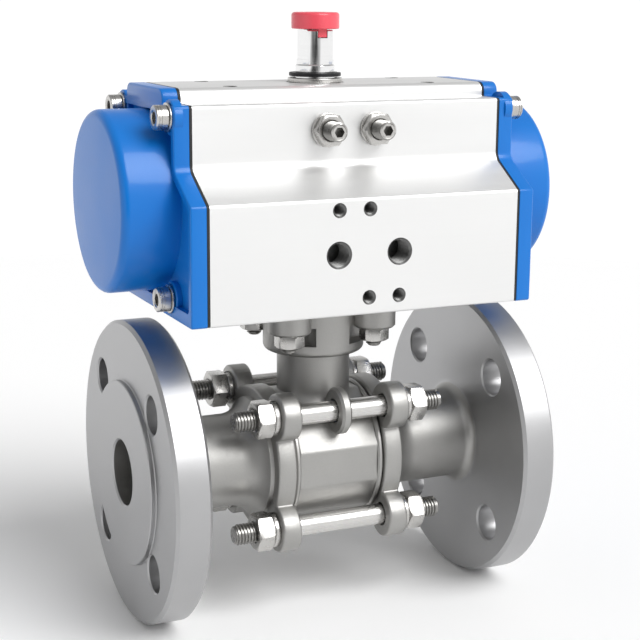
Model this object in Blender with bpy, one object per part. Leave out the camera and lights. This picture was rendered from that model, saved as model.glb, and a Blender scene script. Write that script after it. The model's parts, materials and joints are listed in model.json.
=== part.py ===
"""Pneumatic actuated valve: a DN 25 three-piece flanged ball valve with a rack and pinion actuator.

The pipe runs along X and the stem turns about Z. The origin is under the stem, on the plane that the
flange rims touch. The model rests with the valve shut: the ball's bore lies along Y and both pistons are
in. Opening turns the pinion, the stem and the ball a quarter turn, anticlockwise from above, and the racks
carry the pistons outward. Sizes are in metres.
"""
import math

import bmesh
import bpy
from mathutils import Matrix, Vector

# ---- Clearances -------------------------------------------------------------------------------------
GAP = 0.0003                # between pieces that touch or fit in each other
GASKET_GAP = 0.0002         # on each face of an end cap gasket
BACKLASH = 0.0005           # between the teeth of the pinion and a rack, along the pitch line

# ---- Pipe flanges -----------------------------------------------------------------------------------
FLANGE_OD = 0.115
FLANGE_THICKNESS = 0.0135   # without the raised face
BOLT_CIRCLE = FLANGE_OD - 0.030
BOLT_HOLE = 0.014
RAISED_FACE_OD = BOLT_CIRCLE - 0.015
RAISED_FACE_HEIGHT = 0.002
FACE_TO_FACE = 0.157
PORT_BORE = 0.025           # through the end pieces and the ball
PIPE_OD = PORT_BORE + 0.0108
FLANGE_FILLET = 0.004
RIM_CHAMFER = 0.0012
PIPE_Z = FLANGE_OD / 2

# ---- Stem, gland and mounting pad -------------------------------------------------------------------
STEM_D = 0.0138
STEM_SQUARE = STEM_D - 0.0028
STEM_COLLAR_R = STEM_D / 2 + 0.0021
STEM_COLLAR = 0.0019
THRUST_WASHER = 0.0017
TANG_WIDTH = 0.008
TANG_LENGTH = 0.0124
TANG_DEPTH = 0.0048
GLAND_D = STEM_D + 0.007
NECK_D = GLAND_D + 0.0076
NECK_SHOULDER = 0.004       # between the thrust washer and the packing chamber
PACKING = 0.0072
GLAND_RING = 0.005
DISC_SPRING = 0.0028
DISC_SPRING_EDGE = 0.0006
STEM_NUT_AF = STEM_D + 0.0052
STEM_NUT = 0.006
PAD_RECESS_R = GLAND_D / 2 + 0.0016
PAD_PITCH = 0.05            # bolt circle of the pad
PAD_R = PAD_PITCH / 2 - 0.0053
PAD_CHAMFER = 0.0018
PAD_UNDER_PACKING = 0.0135  # from the packing chamber's floor up to the pad
PAD_HEIGHT = 0.0225
EAR_HEIGHT = 0.0118
EAR_R = 0.0082
PAD_STUD_D = 0.006
PAD_STUD_END = 0.0022       # below its nut
PAD_NUT_AF = PAD_STUD_D + 0.004
PAD_NUT = 0.005
PAD_POCKET_R = 0.0108       # spanner room round each nut
PAD_POCKET = 0.0062

# ---- Three-piece valve body -------------------------------------------------------------------------
BALL_D = PORT_BORE + 0.014
BALL_R = BALL_D / 2
CAVITY_CLEARANCE = 0.0005
SEAT_BACK = BALL_R - 0.0019         # back of a seat, from the stem axis
SEAT_WALL = 0.004
SPIGOT_END = BALL_R - 0.0085        # end of an end piece's register, from the stem axis
CORE_HALF = NECK_D / 2 + 0.0043     # centre body, half of its length with the joint gap
CORE_SIDES = 12
CORE_FLAT = BALL_R + 0.0062         # from the pipe axis to a flat of the centre body
CORE_RING_R = CORE_FLAT + 0.0011
CORE_RING_WIDTH = 0.002
SEAL_WIDTH = 0.0027
SEAL_THICKNESS = 0.0015
LUG_DISC_R = CORE_RING_R + 0.0012
LUG_THICKNESS = 0.0076
HUB_R = CORE_RING_R - 0.0028        # where the end piece's hub meets its lugs
HUB_LENGTH = 0.011
ROD_D = 0.008
ROD_Y = CORE_RING_R - 0.0028        # tie rods, from the pipe axis
ROD_Z = CORE_RING_R - 0.0048
ROD_HOLE = ROD_D + 0.001
ROD_PAST_LUG = 0.0169
ROD_TIP = 0.0008                    # chamfer at the end of a rod
LUG_R = ROD_D / 2 + 0.005
EYE_R = ROD_D / 2 + 0.005
EYE_THICKNESS = 0.004
NUT_AF = ROD_D + 0.005
NUT_HEIGHT = 0.0065
SPRING_WASHER_R = ROD_D / 2 + 0.0026
SPRING_WASHER = 0.002

# ---- Pistons, racks and pinion ----------------------------------------------------------------------
TEETH = 16
MODULE = 0.0015
PRESSURE_ANGLE = math.radians(20)
ADDENDUM = 0.85 * MODULE
ROOT_CLEARANCE = 0.25 * MODULE
PITCH_R = TEETH * MODULE / 2
TOOTH_PITCH = math.pi * MODULE
PISTON_STROKE = PITCH_R * math.pi / 2
GEAR_HALF_FACE = 0.0105
RACK_HALF_FACE = 0.010
RACK_BACK = PITCH_R + 0.009
RACK_TEETH = 7
FIRST_RACK_TOOTH = 1.5      # its place on the rack, in tooth pitches from the stem axis
HEAD_INNER = 0.026          # piston head, from the stem axis with the valve shut
HEAD_THICKNESS = 0.012
HEAD_CLEARANCE = 0.0005
HEAD_DISH_WALL = 0.007
HEAD_DISH = 0.005
GUIDE_BAND_AT = 0.0016      # from the head's inner face
GUIDE_BAND = 0.0036
GUIDE_BAND_DEPTH = 0.0014
RING_AT = 0.0066            # from the head's inner face
RING_GROOVE = 0.0022
O_RING = 0.0030
GUIDE_LENGTH = 0.014
GUIDE_HALF_WIDTH = 0.006
SHAFT_D = 0.0141
SHAFT_EDGE = 0.0006
SHAFT_FLAT = SHAFT_D / 2 - 0.00185  # from the stem axis
SHAFT_ABOVE_BODY = 0.0194
COLLAR_ABOVE_BODY = 0.0067
FLAT_ABOVE_BODY = 0.0085
SLOT_WIDTH = 0.004
SLOT_DEPTH = 0.003
LOWER_JOURNAL_R = STEM_D / 2 + 0.0035
UPPER_JOURNAL_R = SHAFT_D / 2 + 0.0004
CAM_SEAT_R = UPPER_JOURNAL_R + 0.00055
BUSH_WALL = 0.0016
SOCKET_DEPTH = 0.0169
WASHER_R = UPPER_JOURNAL_R + 0.00285
WASHER = 0.0017
SPOT_FACE = 0.0003          # depth of the washer's seat in the body
CIRCLIP_R = UPPER_JOURNAL_R + 0.00235
CIRCLIP = 0.0013
CIRCLIP_GROOVE = 0.0006
CIRCLIP_OPENING = 0.0022

# ---- Actuator body ----------------------------------------------------------------------------------
CYLINDER_D = 0.063
CYLINDER_R = CYLINDER_D / 2
CYLINDER_FLOOR = 0.0072     # between the cylinder and the body's bottom
CYLINDER_ROOF = 0.0098      # between the cylinder and the body's top
PISTON_ROOM = 0.00375       # past a piston at the end of its stroke
RAIL_HALF = 0.0206          # half widths of the body's steps
RAIL_HEIGHT = 0.0052
RAIL_FILLET = 0.0036
UPPER_HALF = CYLINDER_R + 0.0007
LOWER_HALF = CYLINDER_R + 0.0175
SLOPE_TOP = 0.0137          # above the cylinder's axis
SLOPE_BOTTOM = 0.0034
WAIST_FILLET = 0.008
EDGE_ROUND = 0.001
BOTTOM_ROUND = 0.0008
NAMUR_BELOW_AXIS = 0.0164
NAMUR_X = 0.024             # between the air ports
NAMUR_ROWS = 0.032          # between the rows of fixing holes
AIR_PORT_D = 0.0088
M5_TAP = 0.0042
M5_DEPTH = 0.009
TOP_HOLES_X = 0.080
TOP_HOLES_Y = 0.030
GALLERY_D = 0.0034
GALLERY_LINK_D = 0.8 * GALLERY_D
GALLERY_Y = -(CYLINDER_R + 0.0095)
GALLERY_BELOW_AXIS = 0.0095

# ---- End caps ---------------------------------------------------------------------------------------
GASKET = 0.0007
GASKET_INSET = 0.0001
CAP_PLATE = 0.0058
CAP_RIM = 0.0026
CAP_SILL = 0.0048
CAP_FIELD_DEPTH = 0.0025
CAP_SLOPE_SHIFT = 0.6       # how far the field's slope moves down, for each unit that its sides move in
DOME_R = CYLINDER_R + 0.0016
DOME_WALL = 0.0042
DOME_FILLET = 0.003
DOME_LENGTH = 0.0187        # past the cap's plate
CAP_SCREW_Y = CYLINDER_R - 0.0047
CAP_SCREW_Z = CYLINDER_R + 0.0004
CAP_SCREW_D = 0.005
CAP_HEAD_D = CAP_SCREW_D + 0.0038
CAP_HEAD = 0.005
CAP_HEAD_EDGE = 0.0005
CAP_SOCKET_AF = 0.004
CAP_BOSS_R = CAP_HEAD_D / 2 + 0.0018
CAP_SCREW_REACH = 0.011     # into the body

# ---- Travel stops and indicator ---------------------------------------------------------------------
STOP_X = 0.0096
STOP_ABOVE_AXIS = CYLINDER_R - 0.0052
STOP_TIP_Y = -0.009
STOP_END_Y = -(UPPER_HALF + 0.0108)
STOP_SCREW_D = 0.007
STOP_SCREW_EDGE = 0.0006
STOP_TIP_D = STOP_SCREW_D - 0.001
STOP_TIP = 0.0014
STOP_SOCKET_AF = 0.0034
STOP_SOCKET = 0.0035
STOP_NUT_AF = STOP_SCREW_D + 0.0038
STOP_NUT_FLANGE_R = STOP_SCREW_D / 2 + 0.00265
STOP_NUT_FLANGE = 0.0012
STOP_NUT = 0.0042
CAM_HALF = 0.0036
CAM_HUB_R = CAM_SEAT_R + 0.0025
CAM_LOBE_R = CAM_HUB_R + 0.0055
CAM_POCKET_R = CAM_LOBE_R + 0.0008
INDICATOR_R = SHAFT_D / 2 + 0.00195
INDICATOR_HEIGHT = 0.0064
INDICATOR_EDGE = 0.0014
TONGUE_LENGTH = SHAFT_D - 0.0007
M4_D = 0.004
M4_HEAD_D = 0.0066
M4_HEAD = 0.0024
M4_SOCKET_AF = 0.0025
M4_REACH = 0.008

# ---- Facets -----------------------------------------------------------------------------------------
COARSE = 8
SMALL = 12
MEDIUM = 16
WIDE = 24
FINE = 32
BORE_SIDES = 40
TINY = 0.001                # how far a cutter runs past the face that it cuts
CASTING_SOLVER = "MANIFOLD"  # for the end pieces and the centre body, whose curved steps meet closely

# ---- Worked-out places ------------------------------------------------------------------------------
FACE_X = FACE_TO_FACE / 2
FLANGE_FRONT_X = FACE_X - RAISED_FACE_HEIGHT
FLANGE_BACK_X = FLANGE_FRONT_X - FLANGE_THICKNESS
LUG_OUT = CORE_HALF + LUG_THICKNESS
ROD_HALF = LUG_OUT + ROD_PAST_LUG
CAVITY_R = BALL_R + CAVITY_CLEARANCE
SPIGOT_R = CAVITY_R - GAP
BALL_TOP_Z = PIPE_Z + BALL_R
COLLAR_Z = BALL_TOP_Z + GAP
THRUST_Z = COLLAR_Z + STEM_COLLAR + GAP
SHOULDER_STEM_Z = THRUST_Z + THRUST_WASHER + GAP
STEM_CLEAR_R = STEM_D / 2 + GAP
PACKING_Z = SHOULDER_STEM_Z + NECK_SHOULDER
GLAND_Z = PACKING_Z + GAP + PACKING + GAP
SPRING_Z = GLAND_Z + GLAND_RING + GAP
STEM_NUT_Z = SPRING_Z + DISC_SPRING + GAP
SQUARE_Z = STEM_NUT_Z + STEM_NUT + TINY
PAD_BOTTOM_Z = PACKING_Z + PAD_UNDER_PACKING
PAD_TOP_Z = PAD_BOTTOM_Z + PAD_HEIGHT
EAR_BOTTOM_Z = PAD_TOP_Z - EAR_HEIGHT
PAD_XY = PAD_PITCH / 2 / math.sqrt(2)
BODY_BOTTOM_Z = PAD_TOP_Z + GAP
CYLINDER_Z = BODY_BOTTOM_Z + CYLINDER_FLOOR + CYLINDER_R
BODY_TOP_Z = CYLINDER_Z + CYLINDER_R + CYLINDER_ROOF
SHOULDER_Z = BODY_TOP_Z - RAIL_HEIGHT
SLOPE_TOP_Z = CYLINDER_Z + SLOPE_TOP
SLOPE_BOTTOM_Z = CYLINDER_Z + SLOPE_BOTTOM
NAMUR_Z = CYLINDER_Z - NAMUR_BELOW_AXIS
GALLERY_Z = CYLINDER_Z - GALLERY_BELOW_AXIS
STOP_Z = CYLINDER_Z + STOP_ABOVE_AXIS
SOCKET_TOP_Z = BODY_BOTTOM_Z + GAP + SOCKET_DEPTH
COLLAR_TOP_Z = BODY_TOP_Z + COLLAR_ABOVE_BODY
SHAFT_FLAT_Z = BODY_TOP_Z + FLAT_ABOVE_BODY
PINION_TOP_Z = BODY_TOP_Z + SHAFT_ABOVE_BODY
INDICATOR_TOP_Z = PINION_TOP_Z + INDICATOR_HEIGHT
BODY_HALF = HEAD_INNER + HEAD_THICKNESS + PISTON_STROKE + PISTON_ROOM
CAP_INNER = BODY_HALF + 2 * GASKET_GAP + GASKET
CAP_FACE = CAP_INNER + CAP_PLATE
DOME_OUT = CAP_FACE + DOME_LENGTH
CAM_FACE = -STOP_TIP_Y - GAP
QUADRANTS = ((-1, -1), (1, -1), (1, 1), (-1, 1))

MATERIALS = {
    "cast_steel": ((0.46, 0.45, 0.43), 0.42, 1.0),
    "polished_steel": ((0.72, 0.71, 0.69), 0.18, 1.0),
    "body_aluminium": ((0.82, 0.81, 0.80), 0.45, 0.6),
    "cap_paint": ((0.02, 0.20, 0.62), 0.35, 0.0),
    "steel": ((0.55, 0.55, 0.56), 0.3, 1.0),
    "black_steel": ((0.03, 0.03, 0.03), 0.5, 0.8),
    "rubber": ((0.02, 0.02, 0.02), 0.7, 0.0),
    "ptfe": ((0.9, 0.9, 0.88), 0.5, 0.0),
    "acetal": ((0.85, 0.84, 0.78), 0.5, 0.0),
    "indicator_red": ((0.85, 0.08, 0.09), 0.4, 0.0),
}


# ---- Tools of the bench -----------------------------------------------------------------------------
def material(slot):
    """The named material, made the first time that it is asked for."""
    made = bpy.data.materials.get(slot)
    if made:
        return made
    colour, roughness, metallic = MATERIALS[slot]
    made = bpy.data.materials.new(slot)
    made.use_nodes = True
    shader = made.node_tree.nodes["Principled BSDF"]
    shader.inputs["Base Color"].default_value = (*colour, 1.0)
    shader.inputs["Roughness"].default_value = roughness
    shader.inputs["Metallic"].default_value = metallic
    return made


def new_object(name, bm):
    """Close the mesh up, point its faces outward and give it an object."""
    bmesh.ops.remove_doubles(bm, verts=bm.verts, dist=1e-7)
    bmesh.ops.recalc_face_normals(bm, faces=bm.faces)
    mesh = bpy.data.meshes.new(name)
    bm.to_mesh(mesh)
    bm.free()
    obj = bpy.data.objects.new(name, mesh)
    bpy.context.collection.objects.link(obj)
    return obj


def turned(name, profile, steps=MEDIUM, axis="Z", centre=(0, 0, 0), ring=False):
    """Spin (radius, height) points about an axis. A ring's outline is closed, a solid's ends on the axis."""
    bm = bmesh.new()
    points = [bm.verts.new((radius, 0, height)) for radius, height in profile]
    links = list(zip(points, points[1:]))
    if ring:
        links.append((points[-1], points[0]))
    edges = [bm.edges.new(link) for link in links]
    bmesh.ops.spin(bm, geom=points + edges, cent=(0, 0, 0), axis=(0, 0, 1), angle=2 * math.pi,
                   steps=steps, use_merge=True, use_duplicate=False)
    turn = {
        "Z": Matrix(),
        "X": Matrix.Rotation(math.pi / 2, 4, "Y"),
        "Y": Matrix.Rotation(-math.pi / 2, 4, "X"),
    }
    bmesh.ops.transform(bm, matrix=Matrix.Translation(centre) @ turn[axis], verts=bm.verts)
    return new_object(name, bm)


def rod(name, radius, start, end, steps=COARSE, axis="Z", centre=(0, 0)):
    """Plain cylinder along an axis, from start to end; centre is its place across the axis."""
    places = {"Z": (centre[0], centre[1], 0), "X": (0, centre[0], centre[1]), "Y": (centre[0], 0, centre[1])}
    profile = [(0, start), (radius, start), (radius, end), (0, end)]
    return turned(name, profile, steps, axis, places[axis])


def tube(name, inner, outer, start, end, steps=MEDIUM, axis="Z", centre=(0, 0, 0)):
    """Plain ring along an axis."""
    profile = [(inner, start), (outer, start), (outer, end), (inner, end)]
    return turned(name, profile, steps, axis, centre, ring=True)


def prism(name, outline, start, end, axis="X"):
    """Extrude an outline along an axis. The outline's pairs are the other two coordinates, in XYZ order."""
    place = {
        "X": lambda u, v: (start, u, v),
        "Y": lambda u, v: (u, start, v),
        "Z": lambda u, v: (u, v, start),
    }[axis]
    step = {"X": Vector((1, 0, 0)), "Y": Vector((0, 1, 0)), "Z": Vector((0, 0, 1))}[axis]
    bm = bmesh.new()
    face = bm.faces.new([bm.verts.new(place(u, v)) for u, v in outline])
    grown = bmesh.ops.extrude_face_region(bm, geom=[face], use_keep_orig=True)
    top = [item for item in grown["geom"] if isinstance(item, bmesh.types.BMVert)]
    bmesh.ops.translate(bm, vec=step * (end - start), verts=top)
    return new_object(name, bm)


def block(name, low, high):
    """Box between two corners."""
    bm = bmesh.new()
    size = Vector(high) - Vector(low)
    middle = (Vector(high) + Vector(low)) / 2
    bmesh.ops.create_cube(bm, size=1, matrix=Matrix.Translation(middle) @ Matrix.Diagonal((*size, 1)))
    return new_object(name, bm)


def combine(target, tool, operation, solver):
    """Apply one Boolean to the target and use the tool up."""
    modifier = target.modifiers.new(operation, "BOOLEAN")
    modifier.operation = operation
    modifier.solver = solver
    modifier.object = tool
    with bpy.context.temp_override(object=target, active_object=target, selected_objects=[target]):
        bpy.ops.object.modifier_apply(modifier=modifier.name)
    bpy.data.objects.remove(tool)


def cut(target, tool, solver="EXACT"):
    """Take the tool's shape out of the target."""
    combine(target, tool, "DIFFERENCE", solver)


def join(target, tool, solver="EXACT"):
    """Add the tool's shape to the target."""
    combine(target, tool, "UNION", solver)


def finish(obj, slot, crease=math.radians(32)):
    """Give a sub-part its material and smooth its round faces."""
    obj.data.materials.clear()
    obj.data.materials.append(material(slot))
    obj.data.shade_smooth()
    obj.data.set_sharp_from_angle(angle=crease)
    return obj


def copy_turned(source, name):
    """Second sub-part of the same mesh, turned half round the stem axis."""
    twin = bpy.data.objects.new(name, source.data)
    twin.rotation_euler = (0, 0, math.pi)
    bpy.context.collection.objects.link(twin)
    return twin


def copy_moved(source, name, shift, turn=0.0):
    """Second sub-part of the same mesh, moved and turned about Z."""
    twin = bpy.data.objects.new(name, source.data)
    twin.location = shift
    twin.rotation_euler = (0, 0, turn)
    bpy.context.collection.objects.link(twin)
    return twin


def arc(centre, radius, start, end, steps):
    """Points of an arc in a plane, from one angle to another, both ends included."""
    angles = [start + (end - start) * i / steps for i in range(steps + 1)]
    return [(centre[0] + radius * math.cos(a), centre[1] + radius * math.sin(a)) for a in angles]


def rounded(corners, steps=2):
    """Outline through (u, v, radius) corners, with an arc wherever the radius isn't zero."""
    outline = []
    for index, (u, v, radius) in enumerate(corners):
        here = Vector((u, v))
        if not radius:
            outline.append((u, v))
            continue
        before = (Vector(corners[index - 1][:2]) - here).normalized()
        after = (Vector(corners[(index + 1) % len(corners)][:2]) - here).normalized()
        half = before.angle(after) / 2
        centre = here + (before + after).normalized() * (radius / math.sin(half))
        first = here + before * (radius / math.tan(half)) - centre
        turn = math.pi - 2 * half
        if before.x * after.y - before.y * after.x > 0:
            turn = -turn
        for step in range(steps + 1):
            point = centre + Matrix.Rotation(turn * step / steps, 2) @ first
            outline.append((point.x, point.y))
    return outline


def hexagon(across_flats, centre=(0, 0), turn=0.0):
    """Outline of a hexagon with flats this far apart."""
    radius = across_flats / math.sqrt(3)
    return [(centre[0] + radius * math.cos(turn + math.pi / 3 * i),
             centre[1] + radius * math.sin(turn + math.pi / 3 * i)) for i in range(6)]


# ---- Valve ------------------------------------------------------------------------------------------
def lobed(disc_r, lobe_r, lobes, disc_steps, lobe_steps, centre=(0, 0)):
    """Outline of a disc with round lobes, whose centres are given from the disc's, anticlockwise."""
    outline = []
    for index, lobe in enumerate(lobes):
        reach = math.hypot(*lobe)
        angle = math.atan2(lobe[1], lobe[0])
        following = lobes[(index + 1) % len(lobes)]
        next_angle = angle + (math.atan2(following[1], following[0]) - angle) % (2 * math.pi)
        at_disc = math.acos((disc_r ** 2 + reach ** 2 - lobe_r ** 2) / (2 * disc_r * reach))
        at_lobe = math.pi - math.acos((lobe_r ** 2 + reach ** 2 - disc_r ** 2) / (2 * lobe_r * reach))
        middle = (centre[0] + lobe[0], centre[1] + lobe[1])
        outline += arc(middle, lobe_r, angle - at_lobe, angle + at_lobe, lobe_steps)
        outline += arc(centre, disc_r, angle + at_disc, next_angle - at_disc, disc_steps)[1:-1]
    return outline


def end_pieces():
    """Flanged end piece: turned flange, pipe and hub, with a lug plate for the tie rods."""
    bore = PORT_BORE / 2
    pipe = PIPE_OD / 2
    rim = FLANGE_OD / 2
    hub_end = LUG_OUT + HUB_LENGTH
    seat_r = bore + SEAT_WALL + 2 * GAP
    hub_curve = arc((hub_end, pipe + HUB_LENGTH), HUB_LENGTH, -math.pi / 2, -math.pi, 5)
    hub_curve = [(radius, x) for x, radius in hub_curve if radius < HUB_R]
    fillet = arc((FLANGE_BACK_X - FLANGE_FILLET, pipe + FLANGE_FILLET), FLANGE_FILLET, 0, -math.pi / 2, 2)
    profile = [
        (0, FACE_X),
        (RAISED_FACE_OD / 2, FACE_X),
        (RAISED_FACE_OD / 2, FLANGE_FRONT_X),
        (rim - RIM_CHAMFER, FLANGE_FRONT_X),
        (rim, FLANGE_FRONT_X - RIM_CHAMFER),
        (rim, FLANGE_BACK_X + RIM_CHAMFER),
        (rim - RIM_CHAMFER, FLANGE_BACK_X),
        *[(radius, x) for x, radius in fillet],
        *hub_curve,
        (HUB_R, LUG_OUT - TINY),
        (SPIGOT_R, LUG_OUT - TINY),
        (SPIGOT_R, SPIGOT_END),
        (0, SPIGOT_END),
    ]
    piece = turned("right_end_piece", profile, FINE, "X", (0, 0, PIPE_Z))
    rods = [(side_y * ROD_Y, side_z * ROD_Z) for side_y, side_z in QUADRANTS]
    plate = lobed(LUG_DISC_R, LUG_R, rods, 4, 7, (0, PIPE_Z))
    join(piece, prism("lug_plate", plate, CORE_HALF, LUG_OUT), CASTING_SOLVER)
    waterway = [
        (0, SPIGOT_END - TINY),
        (seat_r, SPIGOT_END - TINY),
        (seat_r, SEAT_BACK + GAP),
        (bore, SEAT_BACK + GAP),
        (bore, FACE_X + TINY),
        (0, FACE_X + TINY),
    ]
    cut(piece, turned("waterway", waterway, MEDIUM, "X", (0, 0, PIPE_Z)), CASTING_SOLVER)
    spread = BOLT_CIRCLE / 2 / math.sqrt(2)
    for side_y, side_z in QUADRANTS:
        centre = (side_y * ROD_Y, PIPE_Z + side_z * ROD_Z)
        rod_hole = rod("rod_hole", ROD_HOLE / 2, CORE_HALF - TINY, LUG_OUT + HUB_LENGTH, COARSE, "X", centre)
        cut(piece, rod_hole, CASTING_SOLVER)
        centre = (side_y * spread, PIPE_Z + side_z * spread)
        bolt_hole = rod("bolt_hole", BOLT_HOLE / 2, FLANGE_BACK_X - TINY, FACE_X, SMALL, "X", centre)
        cut(piece, bolt_hole, CASTING_SOLVER)
    finish(piece, "cast_steel")
    copy_turned(piece, "left_end_piece")


def core_outline():
    """Flats of the centre body, with one facing the front."""
    radius = CORE_FLAT / math.cos(math.pi / CORE_SIDES)
    angles = [2 * math.pi * (i + 0.5) / CORE_SIDES for i in range(CORE_SIDES)]
    return [(radius * math.cos(a), PIPE_Z + radius * math.sin(a)) for a in angles]


def centre_body():
    """Faceted barrel with a ring at each end, a neck and the mounting pad for the actuator."""
    half = CORE_HALF - GAP
    body = prism("valve_body", core_outline(), -half + CORE_RING_WIDTH, half - CORE_RING_WIDTH)
    for side in (-1, 1):
        ring_start = side * half
        ring_end = side * (half - CORE_RING_WIDTH - GAP)
        join(body, rod("ring", CORE_RING_R, ring_start, ring_end, WIDE, "X", (0, PIPE_Z)), CASTING_SOLVER)
        centre = (side * ROD_Y, PIPE_Z + ROD_Z)
        eye = rod("eye", EYE_R, -EYE_THICKNESS / 2, EYE_THICKNESS / 2, SMALL, "X", centre)
        join(body, eye, CASTING_SOLVER)
    join(body, rod("neck", NECK_D / 2, PIPE_Z, PAD_BOTTOM_Z + TINY, MEDIUM), CASTING_SOLVER)
    pad_profile = [
        (0, PAD_BOTTOM_Z),
        (PAD_R - PAD_CHAMFER, PAD_BOTTOM_Z),
        (PAD_R, PAD_BOTTOM_Z + PAD_CHAMFER),
        (PAD_R, PAD_TOP_Z),
        (0, PAD_TOP_Z),
    ]
    pad = turned("pad", pad_profile, MEDIUM)
    pocket_low = EAR_BOTTOM_Z - PAD_POCKET
    for side_x, side_y in QUADRANTS:
        centre = (side_x * PAD_XY, side_y * PAD_XY)
        pocket = rod("pocket", PAD_POCKET_R, pocket_low, EAR_BOTTOM_Z + TINY, SMALL, "Z", centre)
        cut(pad, pocket, CASTING_SOLVER)
        join(pad, rod("ear", EAR_R, EAR_BOTTOM_Z, PAD_TOP_Z, SMALL, "Z", centre), CASTING_SOLVER)
    join(body, pad, CASTING_SOLVER)
    stud_r = PAD_STUD_D / 2 + GAP
    for side_x, side_y in QUADRANTS:
        centre = (side_x * PAD_XY, side_y * PAD_XY)
        stud_hole = rod("stud_hole", stud_r, pocket_low + TINY, PAD_TOP_Z + TINY, COARSE, "Z", centre)
        cut(body, stud_hole, CASTING_SOLVER)
    for side_y in (-1, 1):
        centre = (side_y * ROD_Y, PIPE_Z + ROD_Z)
        cut(body, rod("rod_way", ROD_HOLE / 2, -CORE_HALF, CORE_HALF, COARSE, "X", centre), CASTING_SOLVER)
    cut(body, rod("cavity", CAVITY_R, -CORE_HALF, CORE_HALF, WIDE, "X", (0, PIPE_Z)), CASTING_SOLVER)
    seal_r = SPIGOT_R + GAP + SEAL_WIDTH + GAP
    for side in (-1, 1):
        start = side * (half - SEAL_THICKNESS - GAP)
        cut(body, rod("seal_seat", seal_r, start, side * CORE_HALF, WIDE, "X", (0, PIPE_Z)), CASTING_SOLVER)
    stem_way = [
        (0, PIPE_Z),
        (STEM_COLLAR_R + GAP, PIPE_Z),
        (STEM_COLLAR_R + GAP, SHOULDER_STEM_Z),
        (STEM_CLEAR_R, SHOULDER_STEM_Z),
        (STEM_CLEAR_R, PACKING_Z),
        (GLAND_D / 2 + GAP, PACKING_Z),
        (GLAND_D / 2 + GAP, SPRING_Z - GAP),
        (PAD_RECESS_R, SPRING_Z - GAP),
        (PAD_RECESS_R, PAD_TOP_Z + TINY),
        (0, PAD_TOP_Z + TINY),
    ]
    cut(body, turned("stem_way", stem_way, MEDIUM), CASTING_SOLVER)
    finish(body, "cast_steel")


def ball():
    """Ball with its bore across the pipe and the stem's slot along it."""
    side = arc((0, 0), BALL_R, -math.pi / 2, math.pi / 2, SMALL)
    sphere = turned("ball", [(0, -BALL_R), *side[1:-1], (0, BALL_R)], WIDE, "Z", (0, 0, PIPE_Z))
    cut(sphere, rod("bore", PORT_BORE / 2, -BALL_R, BALL_R, MEDIUM, "Y", (0, PIPE_Z)))
    slot = TANG_WIDTH / 2 + GAP
    low = (-BALL_R, -slot, BALL_TOP_Z - TANG_DEPTH)
    cut(sphere, block("slot", low, (BALL_R, slot, BALL_TOP_Z + TINY)))
    finish(sphere, "polished_steel")


def seats_and_seals():
    """Seat rings hollowed to the ball, and the flat ring that seals each body joint."""
    bore = PORT_BORE / 2
    inner = bore + GAP
    outer = bore + SEAT_WALL + GAP
    sphere = BALL_R + GAP
    hollow = []
    steps = 3
    for step in range(steps + 1):
        radius = inner + (outer - inner) * step / steps
        hollow.append((radius, math.sqrt(sphere ** 2 - radius ** 2)))
    profile = [*hollow, (outer, SEAT_BACK), (inner, SEAT_BACK)]
    seat = finish(turned("right_seat", profile, MEDIUM, "X", (0, 0, PIPE_Z), ring=True), "ptfe")
    copy_turned(seat, "left_seat")
    inner = SPIGOT_R + GAP
    outer = inner + SEAL_WIDTH
    end = CORE_HALF - GAP
    seal = tube("right_body_seal", inner, outer, end - SEAL_THICKNESS, end, WIDE, "X", (0, 0, PIPE_Z))
    finish(seal, "ptfe")
    copy_turned(seal, "left_body_seal")


def stem_and_gland():
    """Stem with its tang in the ball and its square in the pinion, and the stack that seals it."""
    tang_z = BALL_TOP_Z - TANG_DEPTH + GAP
    stem_r = STEM_D / 2
    top = SOCKET_TOP_Z - 2 * TINY
    profile = [
        (0, COLLAR_Z),
        (STEM_COLLAR_R, COLLAR_Z),
        (STEM_COLLAR_R, COLLAR_Z + STEM_COLLAR),
        (stem_r, COLLAR_Z + STEM_COLLAR),
        (stem_r, SQUARE_Z),
        (0, SQUARE_Z),
    ]
    stem = turned("stem", profile, MEDIUM)
    half_long = TANG_LENGTH / 2
    half_wide = TANG_WIDTH / 2
    join(stem, block("tang", (-half_long, -half_wide, tang_z), (half_long, half_wide, COLLAR_Z + TINY)))
    half = STEM_SQUARE / 2
    corner = math.sqrt(stem_r ** 2 - half ** 2)
    square = [(half, corner), (corner, half), (-corner, half), (-half, corner),
              (-half, -corner), (-corner, -half), (corner, -half), (half, -corner)]
    join(stem, prism("square", square, SQUARE_Z - TINY, top, "Z"))
    finish(stem, "polished_steel")

    bore = STEM_CLEAR_R
    gland = GLAND_D / 2
    finish(tube("stem_thrust_washer", bore, STEM_COLLAR_R, THRUST_Z, THRUST_Z + THRUST_WASHER), "ptfe")
    finish(tube("stem_packing", bore, gland, PACKING_Z + GAP, PACKING_Z + GAP + PACKING), "ptfe")
    finish(tube("gland_ring", bore, gland, GLAND_Z, GLAND_Z + GLAND_RING), "steel")
    middle = SPRING_Z + DISC_SPRING / 2
    top_edge = SPRING_Z + DISC_SPRING
    springs = [
        (bore, middle - DISC_SPRING_EDGE / 2),
        (gland, SPRING_Z),
        (gland + GAP, SPRING_Z + DISC_SPRING_EDGE),
        (gland - 3 * GAP, middle),
        (gland + GAP, top_edge - DISC_SPRING_EDGE),
        (gland, top_edge),
        (bore, middle + DISC_SPRING_EDGE / 2),
    ]
    finish(turned("disc_springs", springs, MEDIUM, ring=True), "steel")
    nut = prism("stem_nut", hexagon(STEM_NUT_AF), STEM_NUT_Z, STEM_NUT_Z + STEM_NUT, "Z")
    cut(nut, rod("thread", STEM_CLEAR_R, STEM_NUT_Z - TINY, STEM_NUT_Z + STEM_NUT + TINY, MEDIUM))
    finish(nut, "steel")


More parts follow.
